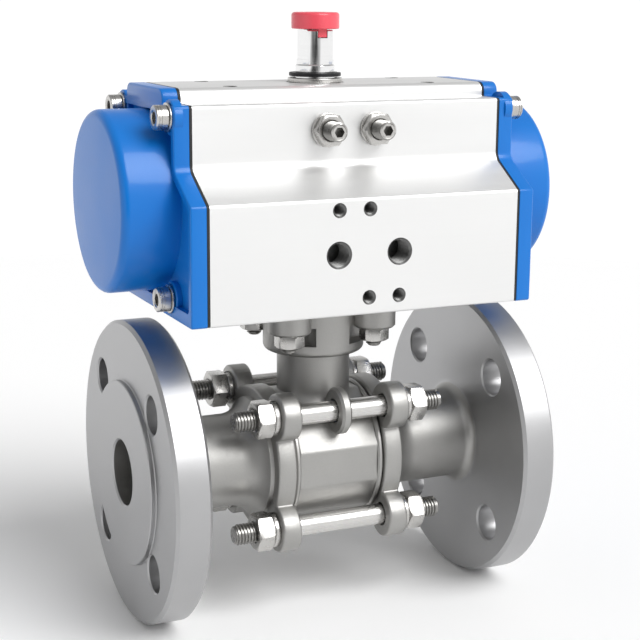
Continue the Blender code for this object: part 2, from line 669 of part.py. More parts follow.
def tie_rods():
    """Four tie rods with a nut and spring washer at each end; the left-hand nut is made with its rod."""
    washer_x = LUG_OUT + GAP
    nut_x = washer_x + SPRING_WASHER
    nut_end = nut_x + NUT_HEIGHT
    rod_r = ROD_D / 2
    tip_r = rod_r - ROD_TIP
    tip_x = ROD_HALF - ROD_TIP
    profile = [
        (0, -ROD_HALF),
        (tip_r, -ROD_HALF),
        (rod_r, -tip_x),
        (rod_r, tip_x),
        (tip_r, ROD_HALF),
        (0, ROD_HALF),
    ]
    first = turned("tie_rod_1", profile, COARSE, "X")
    join(first, prism("fixed_nut", hexagon(NUT_AF), -nut_end, -nut_x))
    join(first, rod("fixed_washer", SPRING_WASHER_R, -nut_x - TINY, -washer_x, SMALL, "X"))
    finish(first, "steel")
    nut = prism("tie_rod_nut_1", hexagon(NUT_AF), nut_x, nut_end)
    join(nut, rod("washer", SPRING_WASHER_R, washer_x, nut_x + TINY, SMALL, "X"))
    cut(nut, rod("thread", rod_r + GAP, washer_x - TINY, nut_end + TINY, COARSE, "X"))
    finish(nut, "steel")
    for index, (side_y, side_z) in enumerate(QUADRANTS, start=1):
        place = Vector((0, side_y * ROD_Y, PIPE_Z + side_z * ROD_Z))
        if index == 1:
            first.location = place
            nut.location = place
            continue
        copy_moved(first, f"tie_rod_{index}", place)
        copy_moved(nut, f"tie_rod_nut_{index}", place)


def pad_studs():
    """Four studs that hang the valve's pad under the actuator, each with its nut."""
    nut_top = EAR_BOTTOM_Z - GAP
    nut_bottom = nut_top - PAD_NUT
    low = nut_bottom - PAD_STUD_END
    high = BODY_BOTTOM_Z + M5_DEPTH - TINY
    stud = rod("pad_stud_1", PAD_STUD_D / 2, low, high, COARSE)
    join(stud, prism("nut", hexagon(PAD_NUT_AF, turn=math.pi / 6), nut_bottom, nut_top, "Z"))
    finish(stud, "steel")
    for index, (side_x, side_y) in enumerate(QUADRANTS, start=1):
        place = Vector((side_x * PAD_XY, side_y * PAD_XY, 0))
        if index == 1:
            stud.location = place
        else:
            copy_moved(stud, f"pad_stud_{index}", place)


# ---- Actuator ---------------------------------------------------------------------------------------
def body_outline(inset=0.0, sill=0.0):
    """Section of the extrusion, or the same line moved in by an inset, and by a sill along the bottom."""
    drop = inset * CAP_SLOPE_SHIFT
    half = [
        (RAIL_HALF - inset, BODY_TOP_Z - inset, max(RAIL_FILLET - inset, 0)),
        (RAIL_HALF - inset, SHOULDER_Z - inset, 0),
        (UPPER_HALF - inset, SHOULDER_Z - inset, EDGE_ROUND),
        (UPPER_HALF - inset, SLOPE_TOP_Z - drop, WAIST_FILLET),
        (LOWER_HALF - inset, SLOPE_BOTTOM_Z - drop, EDGE_ROUND),
        (LOWER_HALF - inset, BODY_BOTTOM_Z + sill, BOTTOM_ROUND),
    ]
    mirrored = [(-y, z, radius) for y, z, radius in reversed(half)]
    return rounded(half + mirrored)


def actuator_body():
    """Extruded body with the cylinder, the pinion's bores, the air ways and the threaded holes."""
    body = prism("actuator_body", body_outline(), -BODY_HALF, BODY_HALF)
    past = BODY_HALF + TINY
    cut(body, rod("cylinder", CYLINDER_R, -past, past, BORE_SIDES, "X", (0, CYLINDER_Z)))
    cut(body, rod("cam_pocket", CAM_POCKET_R, CYLINDER_Z, STOP_Z + CAM_HALF + 2 * GAP, WIDE))
    bush = BUSH_WALL + 2 * GAP
    cut(body, rod("lower_bore", LOWER_JOURNAL_R + bush, BODY_BOTTOM_Z - TINY, CYLINDER_Z, MEDIUM))
    cut(body, rod("upper_bore", UPPER_JOURNAL_R + bush, CYLINDER_Z, BODY_TOP_Z + TINY, MEDIUM))
    cut(body, rod("spot_face", WASHER_R + 2 * GAP, BODY_TOP_Z - SPOT_FACE, BODY_TOP_Z + TINY, MEDIUM))
    front = -LOWER_HALF - TINY
    for side in (-1, 1):
        port_end = -CYLINDER_R / 2 if side < 0 else GALLERY_Y + GALLERY_D
        cut(body, rod("air_port", AIR_PORT_D / 2, front, port_end, SMALL, "Y", (side * NAMUR_X / 2, NAMUR_Z)))
        tapped = front + TINY + M5_DEPTH
        row = NAMUR_Z - side * NAMUR_ROWS / 2
        for x in (0, side * NAMUR_X / 2):
            cut(body, rod("fixing", M5_TAP / 2, front, tapped, COARSE, "Y", (x, row)))
        stop_start = -UPPER_HALF - TINY
        stop_end = -CAM_HUB_R
        stop_r = STOP_SCREW_D / 2 + GAP
        cut(body, rod("stop_way", stop_r, stop_start, stop_end, COARSE, "Y", (side * STOP_X, STOP_Z)))
    cut(body, rod("gallery", GALLERY_D / 2, -past, past, COARSE, "X", (GALLERY_Y, GALLERY_Z)))
    link = (NAMUR_X / 2, GALLERY_Y)
    cut(body, rod("gallery_link", GALLERY_LINK_D / 2, NAMUR_Z, GALLERY_Z, COARSE, "Z", link))
    for side_x, side_y in QUADRANTS:
        top = (side_x * TOP_HOLES_X / 2, side_y * TOP_HOLES_Y / 2)
        top_floor = BODY_TOP_Z - M5_DEPTH + TINY
        cut(body, rod("top_fixing", M5_TAP / 2, top_floor, BODY_TOP_Z + TINY, COARSE, "Z", top))
        stud = (side_x * PAD_XY, side_y * PAD_XY)
        stud_r = PAD_STUD_D / 2 + GAP
        cut(body, rod("stud_way", stud_r, BODY_BOTTOM_Z - TINY, BODY_BOTTOM_Z + M5_DEPTH, COARSE, "Z", stud))
        for end in (-1, 1):
            cap_hole = (side_x * CAP_SCREW_Y, CYLINDER_Z + side_y * CAP_SCREW_Z)
            inner = end * (BODY_HALF - CAP_SCREW_REACH - TINY)
            cut(body, rod("cap_fixing", CAP_SCREW_D / 2 + GAP, inner, end * past, COARSE, "X", cap_hole))
    finish(body, "body_aluminium")


def air_channels(obj, outer, inner, start, end):
    """Slots from the gallery's mouth, on both sides, to the round opening inside."""
    for side in (-1, 1):
        low = (start, min(side * outer, side * inner), GALLERY_Z - GALLERY_D / 2)
        high = (end, max(side * outer, side * inner), GALLERY_Z + GALLERY_D / 2)
        cut(obj, block("channel", low, high))


def end_caps():
    """Cast cap: a plate on the body's section, with a round dome for the cylinder's end."""
    cap = prism("right_end_cap", body_outline(), CAP_INNER, CAP_FACE)
    field_start = CAP_FACE - CAP_FIELD_DEPTH
    cut(cap, prism("field", body_outline(CAP_RIM, CAP_SILL), field_start, CAP_FACE + TINY))
    round_edge = arc((DOME_R - DOME_FILLET, DOME_OUT - DOME_FILLET), DOME_FILLET, 0, math.pi / 2, 3)
    dome = [(0, CAP_INNER + GAP), (DOME_R, CAP_INNER + GAP), *round_edge, (0, DOME_OUT)]
    join(cap, turned("dome", dome, WIDE, "X", (0, 0, CYLINDER_Z)))
    screw_places = [(y * CAP_SCREW_Y, CYLINDER_Z + z * CAP_SCREW_Z) for y, z in QUADRANTS]
    hole_r = CAP_SCREW_D / 2 + GAP
    for place in screw_places:
        join(cap, rod("boss", CAP_BOSS_R, field_start - TINY, CAP_FACE - GAP / 3, SMALL, "X", place))
    inner_r = DOME_R - DOME_WALL
    inner_end = DOME_OUT - DOME_WALL
    chamber = [(0, CAP_INNER - TINY), (inner_r, CAP_INNER - TINY), (inner_r, inner_end - TINY),
               (inner_r - TINY, inner_end), (0, inner_end)]
    cut(cap, turned("chamber", chamber, MEDIUM, "X", (0, 0, CYLINDER_Z)))
    for place in screw_places:
        cut(cap, rod("screw_hole", hole_r, CAP_INNER - TINY, CAP_FACE + TINY, COARSE, "X", place))
    reach = -GALLERY_Y + GALLERY_D / 2
    air_channels(cap, reach, inner_r - 2 * TINY, CAP_INNER - TINY, CAP_INNER + CAP_PLATE / 3)
    finish(cap, "cap_paint")
    copy_turned(cap, "left_end_cap")

    start = BODY_HALF + GASKET_GAP
    past = start + GASKET + TINY
    gasket = prism("right_cap_gasket", body_outline(GASKET_INSET), start, start + GASKET)
    cut(gasket, rod("opening", CYLINDER_R, start - TINY, past, WIDE, "X", (0, CYLINDER_Z)))
    for place in screw_places:
        cut(gasket, rod("screw_hole", hole_r, start - TINY, past, COARSE, "X", place))
    air_channels(gasket, reach, CYLINDER_R - 3 * TINY, start - TINY, past)
    finish(gasket, "rubber")
    copy_turned(gasket, "left_cap_gasket")


def cap_screws():
    """Socket head screws, four in each cap."""
    head_x = CAP_FACE + GAP
    top = head_x + CAP_HEAD
    profile = [
        (0, BODY_HALF - CAP_SCREW_REACH),
        (CAP_SCREW_D / 2, BODY_HALF - CAP_SCREW_REACH),
        (CAP_SCREW_D / 2, head_x),
        (CAP_HEAD_D / 2, head_x),
        (CAP_HEAD_D / 2, top - CAP_HEAD_EDGE),
        (CAP_HEAD_D / 2 - CAP_HEAD_EDGE, top),
        (0, top),
    ]
    screw = turned("right_cap_screw_1", profile, COARSE, "X")
    cut(screw, prism("socket", hexagon(CAP_SOCKET_AF), head_x + CAP_HEAD / 2, top + TINY))
    finish(screw, "steel")
    for index, (side_y, side_z) in enumerate(QUADRANTS, start=1):
        place = Vector((0, side_y * CAP_SCREW_Y, CYLINDER_Z + side_z * CAP_SCREW_Z))
        if index == 1:
            screw.location = place
        else:
            copy_moved(screw, f"right_cap_screw_{index}", place)
        copy_moved(screw, f"left_cap_screw_{index}", place, math.pi)


def rack_outline():
    """Plan of the right-hand rack, which lies at -Y: straight teeth that point to the pinion."""
    half_tooth = TOOTH_PITCH / 4 - BACKLASH / 4
    slope = math.tan(PRESSURE_ANGLE)
    root = PITCH_R + ADDENDUM + ROOT_CLEARANCE
    tip = PITCH_R - ADDENDUM
    at_root = half_tooth + (root - PITCH_R) * slope
    at_tip = half_tooth - ADDENDUM * slope
    end = HEAD_INNER - GAP
    line = [(HEAD_INNER + TINY, -RACK_BACK), (HEAD_INNER + TINY, -root)]
    for index in range(RACK_TEETH):
        middle = TOOTH_PITCH * (FIRST_RACK_TOOTH - index)
        tooth = [(at_root, -root), (at_tip, -tip), (-at_tip, -tip), (-at_root, -root)]
        line += [(middle + along, y) for along, y in tooth]
    line += [(-end, -root), (-end, -RACK_BACK)]
    return line


def pistons():
    """Piston head with grooves for its ring and guide band, and a rack that passes the pinion."""
    head_r = CYLINDER_R - HEAD_CLEARANCE
    outer = HEAD_INNER + HEAD_THICKNESS
    ring_x = HEAD_INNER + RING_AT
    band_x = HEAD_INNER + GUIDE_BAND_AT
    band_end = band_x + GUIDE_BAND
    dish_r = head_r - HEAD_DISH_WALL
    profile = [
        (0, HEAD_INNER),
        (head_r, HEAD_INNER),
        (head_r, band_x),
        (head_r - GUIDE_BAND_DEPTH, band_x),
        (head_r - GUIDE_BAND_DEPTH, band_end),
        (head_r, band_end),
        (head_r, ring_x),
        (head_r - RING_GROOVE, ring_x),
        (head_r - RING_GROOVE, ring_x + O_RING),
        (head_r, ring_x + O_RING),
        (head_r, outer),
        (dish_r, outer),
        (dish_r - TINY, outer - HEAD_DISH),
        (0, outer - HEAD_DISH),
    ]
    piston = turned("right_piston", profile, WIDE, "X", (0, 0, CYLINDER_Z))
    low = CYLINDER_Z - RACK_HALF_FACE
    high = CYLINDER_Z + RACK_HALF_FACE
    join(piston, prism("rack", rack_outline(), low, high, "Z"))
    finish(piston, "body_aluminium")
    copy_turned(piston, "left_piston")

    wall_r = CYLINDER_R - GAP
    axis_point = (0, 0, CYLINDER_Z)
    band_inner = head_r - GUIDE_BAND_DEPTH + GAP
    band = tube("right_guide_band", band_inner, wall_r, band_x + GAP, band_end - GAP, WIDE, "X", axis_point)
    finish(band, "acetal")
    copy_turned(band, "left_guide_band")
    ring_inner = head_r - RING_GROOVE + GAP
    middle_r = (ring_inner + wall_r) / 2
    section = arc((middle_r, ring_x + O_RING / 2), (wall_r - ring_inner) / 2, 0, 2 * math.pi * 5 / 6, 5)
    ring = turned("right_piston_ring", section, WIDE, "X", axis_point, ring=True)
    finish(ring, "rubber")
    copy_turned(ring, "left_piston_ring")

    guide_end = -HEAD_INNER + 2 * TINY
    spread = math.asin(GUIDE_HALF_WIDTH / wall_r)
    outline = [
        (-RACK_BACK - GAP, CYLINDER_Z - GUIDE_HALF_WIDTH),
        *arc((0, CYLINDER_Z), wall_r, math.pi + spread, math.pi - spread, 4),
        (-RACK_BACK - GAP, CYLINDER_Z + GUIDE_HALF_WIDTH),
    ]
    guide = finish(prism("right_rack_guide", outline, guide_end, guide_end + GUIDE_LENGTH), "acetal")
    copy_turned(guide, "left_rack_guide")


def gear_outline():
    """Involute teeth, with one pointing along +Y."""
    base_r = PITCH_R * math.cos(PRESSURE_ANGLE)
    tip_r = PITCH_R + ADDENDUM
    root_r = PITCH_R - ADDENDUM - ROOT_CLEARANCE
    involute = math.tan(PRESSURE_ANGLE) - PRESSURE_ANGLE
    half_tooth = math.pi / 2 / TEETH - BACKLASH / 4 / PITCH_R + involute
    flank = [(root_r, half_tooth)]
    steps = 2
    for step in range(steps + 1):
        radius = base_r + (tip_r - base_r) * step / steps
        angle = math.acos(min(base_r / radius, 1))
        flank.append((radius, half_tooth - (math.tan(angle) - angle)))
    outline = []
    for tooth in range(TEETH):
        middle = math.pi / 2 + 2 * math.pi * tooth / TEETH
        sides = [(radius, middle - half) for radius, half in flank]
        sides += [(radius, middle + half) for radius, half in reversed(flank)]
        outline += [(radius * math.cos(a), radius * math.sin(a)) for radius, a in sides]
    return outline


def pinion():
    """Pinion in one piece: socket for the stem below, teeth, cam seat, journals and slotted shaft end."""
    bottom = BODY_BOTTOM_Z + GAP
    gear_low = CYLINDER_Z - GEAR_HALF_FACE
    gear_high = CYLINDER_Z + GEAR_HALF_FACE
    root_r = PITCH_R - ADDENDUM - ROOT_CLEARANCE
    cam_top = STOP_Z + CAM_HALF
    groove_low = BODY_TOP_Z + GAP + WASHER
    groove_high = groove_low + CIRCLIP + 2 * GAP
    shaft_r = SHAFT_D / 2
    profile = [
        (0, bottom),
        (LOWER_JOURNAL_R, bottom),
        (LOWER_JOURNAL_R, gear_low - TINY),
        (root_r - GAP, gear_low),
        (root_r - GAP, gear_high),
        (CAM_SEAT_R, gear_high + TINY),
        (CAM_SEAT_R, cam_top),
        (UPPER_JOURNAL_R, cam_top),
        (UPPER_JOURNAL_R, groove_low),
        (UPPER_JOURNAL_R - CIRCLIP_GROOVE, groove_low),
        (UPPER_JOURNAL_R - CIRCLIP_GROOVE, groove_high),
        (UPPER_JOURNAL_R, groove_high),
        (UPPER_JOURNAL_R, COLLAR_TOP_Z),
        (shaft_r, COLLAR_TOP_Z),
        (shaft_r, PINION_TOP_Z - SHAFT_EDGE),
        (shaft_r - SHAFT_EDGE, PINION_TOP_Z),
        (0, PINION_TOP_Z),
    ]
    shaft = turned("pinion", profile, MEDIUM)
    join(shaft, prism("teeth", gear_outline(), gear_low, gear_high, "Z"))
    half = STEM_SQUARE / 2 + GAP
    cut(shaft, block("socket", (-half, -half, bottom - TINY), (half, half, SOCKET_TOP_Z)))
    for side in (-1, 1):
        low = (min(side * SHAFT_FLAT, side * SHAFT_D), -SHAFT_D, SHAFT_FLAT_Z)
        high = (max(side * SHAFT_FLAT, side * SHAFT_D), SHAFT_D, PINION_TOP_Z + TINY)
        cut(shaft, block("flat", low, high))
    slot = SLOT_WIDTH / 2
    low = (-slot, -SHAFT_D, PINION_TOP_Z - SLOT_DEPTH)
    cut(shaft, block("slot", low, (slot, SHAFT_D, PINION_TOP_Z + TINY)))
    screw_floor = PINION_TOP_Z - M4_REACH - TINY
    cut(shaft, rod("screw_hole", M4_D / 2 - GAP, screw_floor, PINION_TOP_Z, COARSE))
    finish(shaft, "polished_steel")

    lower_inner = LOWER_JOURNAL_R + GAP
    bush_top = CYLINDER_Z - CYLINDER_R - GAP
    finish(tube("pinion_lower_bush", lower_inner, lower_inner + BUSH_WALL, bottom, bush_top), "acetal")
    upper_inner = UPPER_JOURNAL_R + GAP
    bush_low = cam_top + GAP
    bush_top = BODY_TOP_Z - SPOT_FACE
    finish(tube("pinion_upper_bush", upper_inner, upper_inner + BUSH_WALL, bush_low, bush_top), "acetal")
    finish(tube("pinion_washer", upper_inner, WASHER_R, bush_top + GAP, groove_low - GAP), "steel")
    clip_low = groove_low + GAP
    clip_inner = UPPER_JOURNAL_R - CIRCLIP_GROOVE + GAP
    clip = tube("pinion_circlip", clip_inner, CIRCLIP_R, clip_low, clip_low + CIRCLIP)
    half = CIRCLIP_OPENING / 2
    cut(clip, block("opening", (0, -half, clip_low - TINY), (CIRCLIP_R + TINY, half, groove_high + TINY)))
    finish(clip, "black_steel")


def travel_stops():
    """Cam on the pinion, and the two screws that its lobe meets at the ends of its quarter turn."""
    closed_edge = -math.asin(CAM_FACE / CAM_LOBE_R)
    open_edge = math.pi / 2 - closed_edge
    closed_hub = -math.asin(CAM_FACE / CAM_HUB_R)
    open_hub = math.pi / 2 - closed_hub
    outline = arc((0, 0), CAM_LOBE_R, closed_edge, open_edge, 10)
    outline += arc((0, 0), CAM_HUB_R, open_hub, 2 * math.pi + closed_hub, 6)
    low = STOP_Z - CAM_HALF
    high = STOP_Z + CAM_HALF
    cam = prism("stop_cam", outline, low, high, "Z")
    cut(cam, rod("seat", CAM_SEAT_R + GAP, low - TINY, high + TINY, MEDIUM))
    finish(cam, "steel")

    nut_face = -UPPER_HALF - GAP
    nut_end = nut_face - STOP_NUT
    tip_r = STOP_TIP_D / 2
    screw_r = STOP_SCREW_D / 2
    profile = [
        (0, STOP_END_Y),
        (screw_r - STOP_SCREW_EDGE, STOP_END_Y),
        (screw_r, STOP_END_Y + STOP_SCREW_EDGE),
        (screw_r, STOP_TIP_Y - STOP_TIP - screw_r + tip_r),
        (tip_r, STOP_TIP_Y - STOP_TIP),
        (tip_r, STOP_TIP_Y),
        (0, STOP_TIP_Y),
    ]
    for side, name in ((1, "closing_stop"), (-1, "opening_stop")):
        place = (side * STOP_X, STOP_Z)
        screw = turned(f"{name}_screw", profile, COARSE, "Y", (side * STOP_X, 0, STOP_Z))
        socket = hexagon(STOP_SOCKET_AF, place)
        cut(screw, prism("socket", socket, STOP_END_Y - TINY, STOP_END_Y + STOP_SOCKET, "Y"))
        finish(screw, "steel")
        nut = prism(f"{name}_nut", hexagon(STOP_NUT_AF, place), nut_end, nut_face - STOP_NUT_FLANGE / 2, "Y")
        join(nut, rod("flange", STOP_NUT_FLANGE_R, nut_face - STOP_NUT_FLANGE, nut_face, SMALL, "Y", place))
        cut(nut, rod("thread", screw_r + GAP, nut_end - TINY, nut_face + TINY, COARSE, "Y", place))
        finish(nut, "steel")


def indicator():
    """Cap that shows the ball's place, with a tongue in the shaft's slot and a screw down its middle."""
    bottom = PINION_TOP_Z + GAP
    edge_middle = (INDICATOR_R - INDICATOR_EDGE, INDICATOR_TOP_Z - INDICATOR_EDGE)
    edge = arc(edge_middle, INDICATOR_EDGE, 0, math.pi / 2, 2)
    profile = [(0, bottom), (INDICATOR_R, bottom), *edge, (0, INDICATOR_TOP_Z)]
    cap = turned("position_indicator", profile, WIDE)
    half = SLOT_WIDTH / 2 - GAP
    low = (-half, -TONGUE_LENGTH / 2, PINION_TOP_Z - SLOT_DEPTH + GAP)
    join(cap, block("tongue", low, (half, TONGUE_LENGTH / 2, bottom + TINY)))
    head_floor = INDICATOR_TOP_Z - M4_HEAD - GAP
    cut(cap, rod("screw_way", M4_D / 2 + GAP, PINION_TOP_Z - SLOT_DEPTH, INDICATOR_TOP_Z, COARSE))
    cut(cap, rod("head_way", M4_HEAD_D / 2 + GAP, head_floor, INDICATOR_TOP_Z + TINY, MEDIUM))
    finish(cap, "indicator_red")
    head_low = head_floor + GAP
    shank_r = M4_D / 2 - 2 * GAP
    profile = [
        (0, PINION_TOP_Z - M4_REACH),
        (shank_r, PINION_TOP_Z - M4_REACH),
        (shank_r, head_low),
        (M4_HEAD_D / 2, head_low),
        (M4_HEAD_D / 2, INDICATOR_TOP_Z - GAP),
        (0, INDICATOR_TOP_Z - GAP),
    ]
    screw = turned("indicator_screw", profile, COARSE)
    cut(screw, prism("socket", hexagon(M4_SOCKET_AF), head_low + TINY, INDICATOR_TOP_Z + TINY, "Z"))
    finish(screw, "steel")


for leftover in list(bpy.data.objects):
    bpy.data.objects.remove(leftover)
end_pieces()
centre_body()
ball()
seats_and_seals()
stem_and_gland()
tie_rods()
pad_studs()
actuator_body()
end_caps()
cap_screws()
pistons()
pinion()
travel_stops()
indicator()
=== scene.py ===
"""Looks of a pneumatic actuated valve: fine meshes, finishes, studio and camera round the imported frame."""
import json
import math

import bmesh
import bpy
from mathutils import Matrix, Vector


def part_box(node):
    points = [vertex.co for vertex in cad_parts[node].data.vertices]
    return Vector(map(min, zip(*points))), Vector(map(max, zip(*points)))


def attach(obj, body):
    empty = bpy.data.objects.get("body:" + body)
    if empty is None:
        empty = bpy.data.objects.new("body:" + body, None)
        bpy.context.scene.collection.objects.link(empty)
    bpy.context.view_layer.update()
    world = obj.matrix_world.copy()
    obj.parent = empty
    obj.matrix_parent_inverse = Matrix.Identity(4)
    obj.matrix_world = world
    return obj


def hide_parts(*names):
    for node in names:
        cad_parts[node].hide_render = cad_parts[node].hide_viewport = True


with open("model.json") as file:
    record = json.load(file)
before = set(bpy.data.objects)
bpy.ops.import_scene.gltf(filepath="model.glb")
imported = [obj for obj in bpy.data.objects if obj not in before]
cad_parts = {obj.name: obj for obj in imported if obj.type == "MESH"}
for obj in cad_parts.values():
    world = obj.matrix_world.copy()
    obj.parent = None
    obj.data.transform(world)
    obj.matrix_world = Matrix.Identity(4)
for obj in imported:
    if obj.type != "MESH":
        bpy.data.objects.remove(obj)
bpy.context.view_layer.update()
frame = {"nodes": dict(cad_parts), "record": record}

# ---- Sizes, in metres -------------------------------------------------------------------------------
GAP = 0.0003                # between pieces that touch
TINY = 0.001                # how far a cutter runs past a face

# The flanged end pieces
end_low, end_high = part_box("right_end_piece")
FACE_X = end_high.x
FLANGE_R = (end_high.z - end_low.z) / 2
PIPE_Z = end_low.z + FLANGE_R
RAISED_FACE_R = 0.035
RAISED_FACE = 0.002
FLANGE_FRONT_X = FACE_X - RAISED_FACE
FLANGE_BACK_X = FLANGE_FRONT_X - 0.0135
BOLT_CIRCLE_R = 0.0425
BOLT_HOLE_R = 0.007
BORE_R = 0.0125
PIPE_R = 0.0179
FLANGE_FILLET = 0.004
RIM_CHAMFER = 0.0012
HUB_R = 0.024
HUB_LENGTH = 0.011
LUG_IN = 0.0185
LUG_OUT = 0.0261
LUG_R = 0.009
LUG_DISC_R = 0.028
SPIGOT_R = 0.0197
SPIGOT_END = end_low.x
ROD_Y = 0.024
ROD_Z = 0.022
ROD_HOLE_R = 0.0045

# The valve's centre body
CORE_FLAT = 0.0257
CORE_SIDES = 12
CORE_RING_R = 0.0268
CORE_RING = 0.002
CORE_HALF_LENGTH = LUG_IN - GAP
EYE_R = 0.009
EYE = 0.004
NECK_R = 0.0142
NECK_FLARE = 0.007
PAD_R = 0.0197
PAD_BOTTOM_Z = 0.099
PAD_TOP_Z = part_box("valve_body")[1].z
PAD_EDGE = 0.0022
PAD_XY = 0.05 / 2 / math.sqrt(2)
EAR_R = 0.0082
EAR_BOTTOM_Z = 0.1097
POCKET_R = 0.0108
POCKET_FLOOR_Z = 0.1035

# Rods, nuts and screws
ROD_R = 0.004
STOP_R = 0.0035
ROD_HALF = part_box("tie_rod_1")[1].x
ROD_PITCH = 0.00125
NUT_AF = 0.013
nut_low, nut_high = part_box("tie_rod_nut_1")
SPRING_WASHER = 0.002
SPRING_WASHER_R = 0.0066
STUD_R = 0.003
stud_low, stud_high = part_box("pad_stud_1")
PAD_NUT_AF = 0.010

# The actuator
body_low, body_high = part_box("actuator_body")
BODY_HALF = body_high.x
BODY_FRONT = body_high.y
BODY_TOP_Z = body_high.z
BODY_BOTTOM_Z = body_low.z
SHOULDER_Z = BODY_TOP_Z - 0.0052
SLOPE_TOP_Z = BODY_TOP_Z - 0.0276
SLOPE_BOTTOM_Z = BODY_TOP_Z - 0.0379
UPPER_HALF = 0.0322
RAIL_HALF = 0.0206
RAIL_ROUND = 0.0036
SLOPE_ROUND = 0.0045
CYLINDER_Z = BODY_BOTTOM_Z + 0.0387
CYLINDER_R = 0.0315
PORT_X = 0.012
PORT_Z = BODY_BOTTOM_Z + 0.0223
PORT_R = 0.0044
PORT_ROWS = 0.016
PORT_DEPTH = 0.010
HOLE_DEEPEST = 0.012
TAP_R = 0.0021
SINK = 0.0006
TAP_DEPTH = 0.009
TOP_HOLES = (0.040, 0.015)
cap_low, cap_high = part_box("right_end_cap")
CAP_INNER = cap_low.x
CAP_FACE = CAP_INNER + 0.0058
DOME_OUT = cap_high.x
DOME_R = 0.0331
DOME_EDGE = 0.003
CAP_RIM = 0.0026
CAP_SILL = 0.0048
CAP_FIELD = 0.0025
CAP_BOSS_R = 0.0062
CAP_SCREW_Y = 0.0268
CAP_SCREW_Z = 0.0319
gasket_low, gasket_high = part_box("right_cap_gasket")
screw_low, screw_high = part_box("right_cap_screw_1")

# Shaft, stops and indicator
SHAFT_R = 0.00705
COLLAR_R = 0.00745
COLLAR_TOP_Z = 0.2085
FLAT_X = 0.0052
FLAT_Z = 0.2103
pinion_low, pinion_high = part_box("pinion")
indicator_low, indicator_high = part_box("position_indicator")
washer_low, washer_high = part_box("pinion_washer")
clip_low, clip_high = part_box("pinion_circlip")
STOP_X = 0.0096
STOP_Z = 0.1868
STOP_END_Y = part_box("closing_stop_screw")[0].y
STOP_TIP_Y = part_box("closing_stop_screw")[1].y
STOP_AF = 0.0108

QUADRANTS = ((-1, -1), (1, -1), (1, 1), (-1, 1))
AXES = {"X": Vector((1, 0, 0)), "Y": Vector((0, 1, 0)), "Z": Vector((0, 0, 1))}
OUTWARD = {"X": AXES["Z"], "Y": AXES["Z"], "Z": AXES["X"]}


# ---- Shader nodes -----------------------------------------------------------------------------------
class Wire:
    """A shader socket. Arithmetic on it adds Math nodes."""

    def __init__(self, finish, socket):
        self.finish = finish
        self.socket = socket

    def maths(self, operation, *values):
        return self.finish.node("ShaderNodeMath", {"operation": operation}, dict(enumerate(values)))

    def __add__(self, other):
        return self.maths("ADD", self, other)

    def __sub__(self, other):
        return self.maths("SUBTRACT", self, other)

    def __rsub__(self, other):
        return self.maths("SUBTRACT", other, self)

    def __mul__(self, other):
        return self.maths("MULTIPLY", self, other)

    __radd__ = __add__
    __rmul__ = __mul__


class Shading:
    """A tree of shader nodes."""

    def __init__(self, tree):
        self.tree = tree

    def plug(self, socket, value):
        if isinstance(value, Wire):
            self.tree.links.new(value.socket, socket)
        elif hasattr(value, "__len__") and socket.type == "RGBA":
            socket.default_value = (*value, 1.0)
        else:
            socket.default_value = value

    def node(self, kind, settings, sockets, output=0):
        """Add a node: its settings first, then the values or wires of its sockets."""
        made = self.tree.nodes.new(kind)
        for setting, value in settings.items():
            setattr(made, setting, value)
        for socket, value in sockets.items():
            self.plug(made.inputs[socket], value)
        return Wire(self, made.outputs[output])

    def ramp(self, value, low, high, to_low=0.0, to_high=1.0):
        """Map a range of a value onto another, held at its ends."""
        sockets = {"Value": value, 1: low, 2: high, 3: to_low, 4: to_high}
        return self.node("ShaderNodeMapRange", {}, sockets)


class Finish(Shading):
    """A material in the making, with its one shader."""

    def __init__(self, name, **constants):
        self.material = bpy.data.materials.new(name)
        self.material.use_nodes = True
        super().__init__(self.material.node_tree)
        self.shader = self.tree.nodes["Principled BSDF"]
        self.surface(**constants)

    def surface(self, **sockets):
        for socket, value in sockets.items():
            self.plug(self.shader.inputs[socket.replace("_", " ").title().replace("Ior", "IOR")], value)

    def place(self, stretch=(1, 1, 1), centre=(0, 0, 0)):
        """Object coordinates, centred and stretched."""
        coordinates = self.node("ShaderNodeTexCoord", {}, {}, "Object")
        shift = [-c * s for c, s in zip(centre, stretch)]
        return self.node("ShaderNodeMapping", {}, {"Vector": coordinates, "Location": shift, "Scale": stretch})

    def noise(self, scale, detail=2.0, stretch=(1, 1, 1)):
        sockets = {"Vector": self.place(stretch), "Scale": scale, "Detail": detail}
        return self.node("ShaderNodeTexNoise", {}, sockets)

    def mix(self, factor, first, second):
        return self.node("ShaderNodeMix", {"data_type": "RGBA"}, {0: factor, 6: first, 7: second}, 2)

    def bump(self, height, distance, strength=1.0):
        return self.node("ShaderNodeBump", {}, {"Height": height, "Distance": distance, "Strength": strength})

    def rings(self, pitch, centre):
        """Turning marks: fine rings round the X axis through a centre."""
        across = self.place((0, 1, 1), centre)
        radius = self.node("ShaderNodeVectorMath", {"operation": "LENGTH"}, {0: across}, "Value")
        wave = radius * (2 * math.pi / pitch)
        return wave.maths("SINE", wave)


# ---- Finishes ---------------------------------------------------------------------------------------
def blasted_casting():
    """Bead-blasted stainless casting: dull, finely pitted, a little cloudy."""
    finish = Finish("blasted_casting", metallic=1.0)
    cloud = finish.noise(38, 3)
    pits = finish.noise(1500, 3)
    grain = finish.noise(5200, 2)
    finish.surface(
        base_color=finish.mix(cloud, (0.36, 0.355, 0.345), (0.47, 0.465, 0.45)),
        roughness=finish.ramp(cloud, 0.3, 0.7, 0.42, 0.52) + finish.ramp(pits, 0.3, 0.7, -0.04, 0.04),
        normal=finish.bump(pits * 0.6 + grain * 0.4, 0.00009, 0.6),
    )
    return finish.material


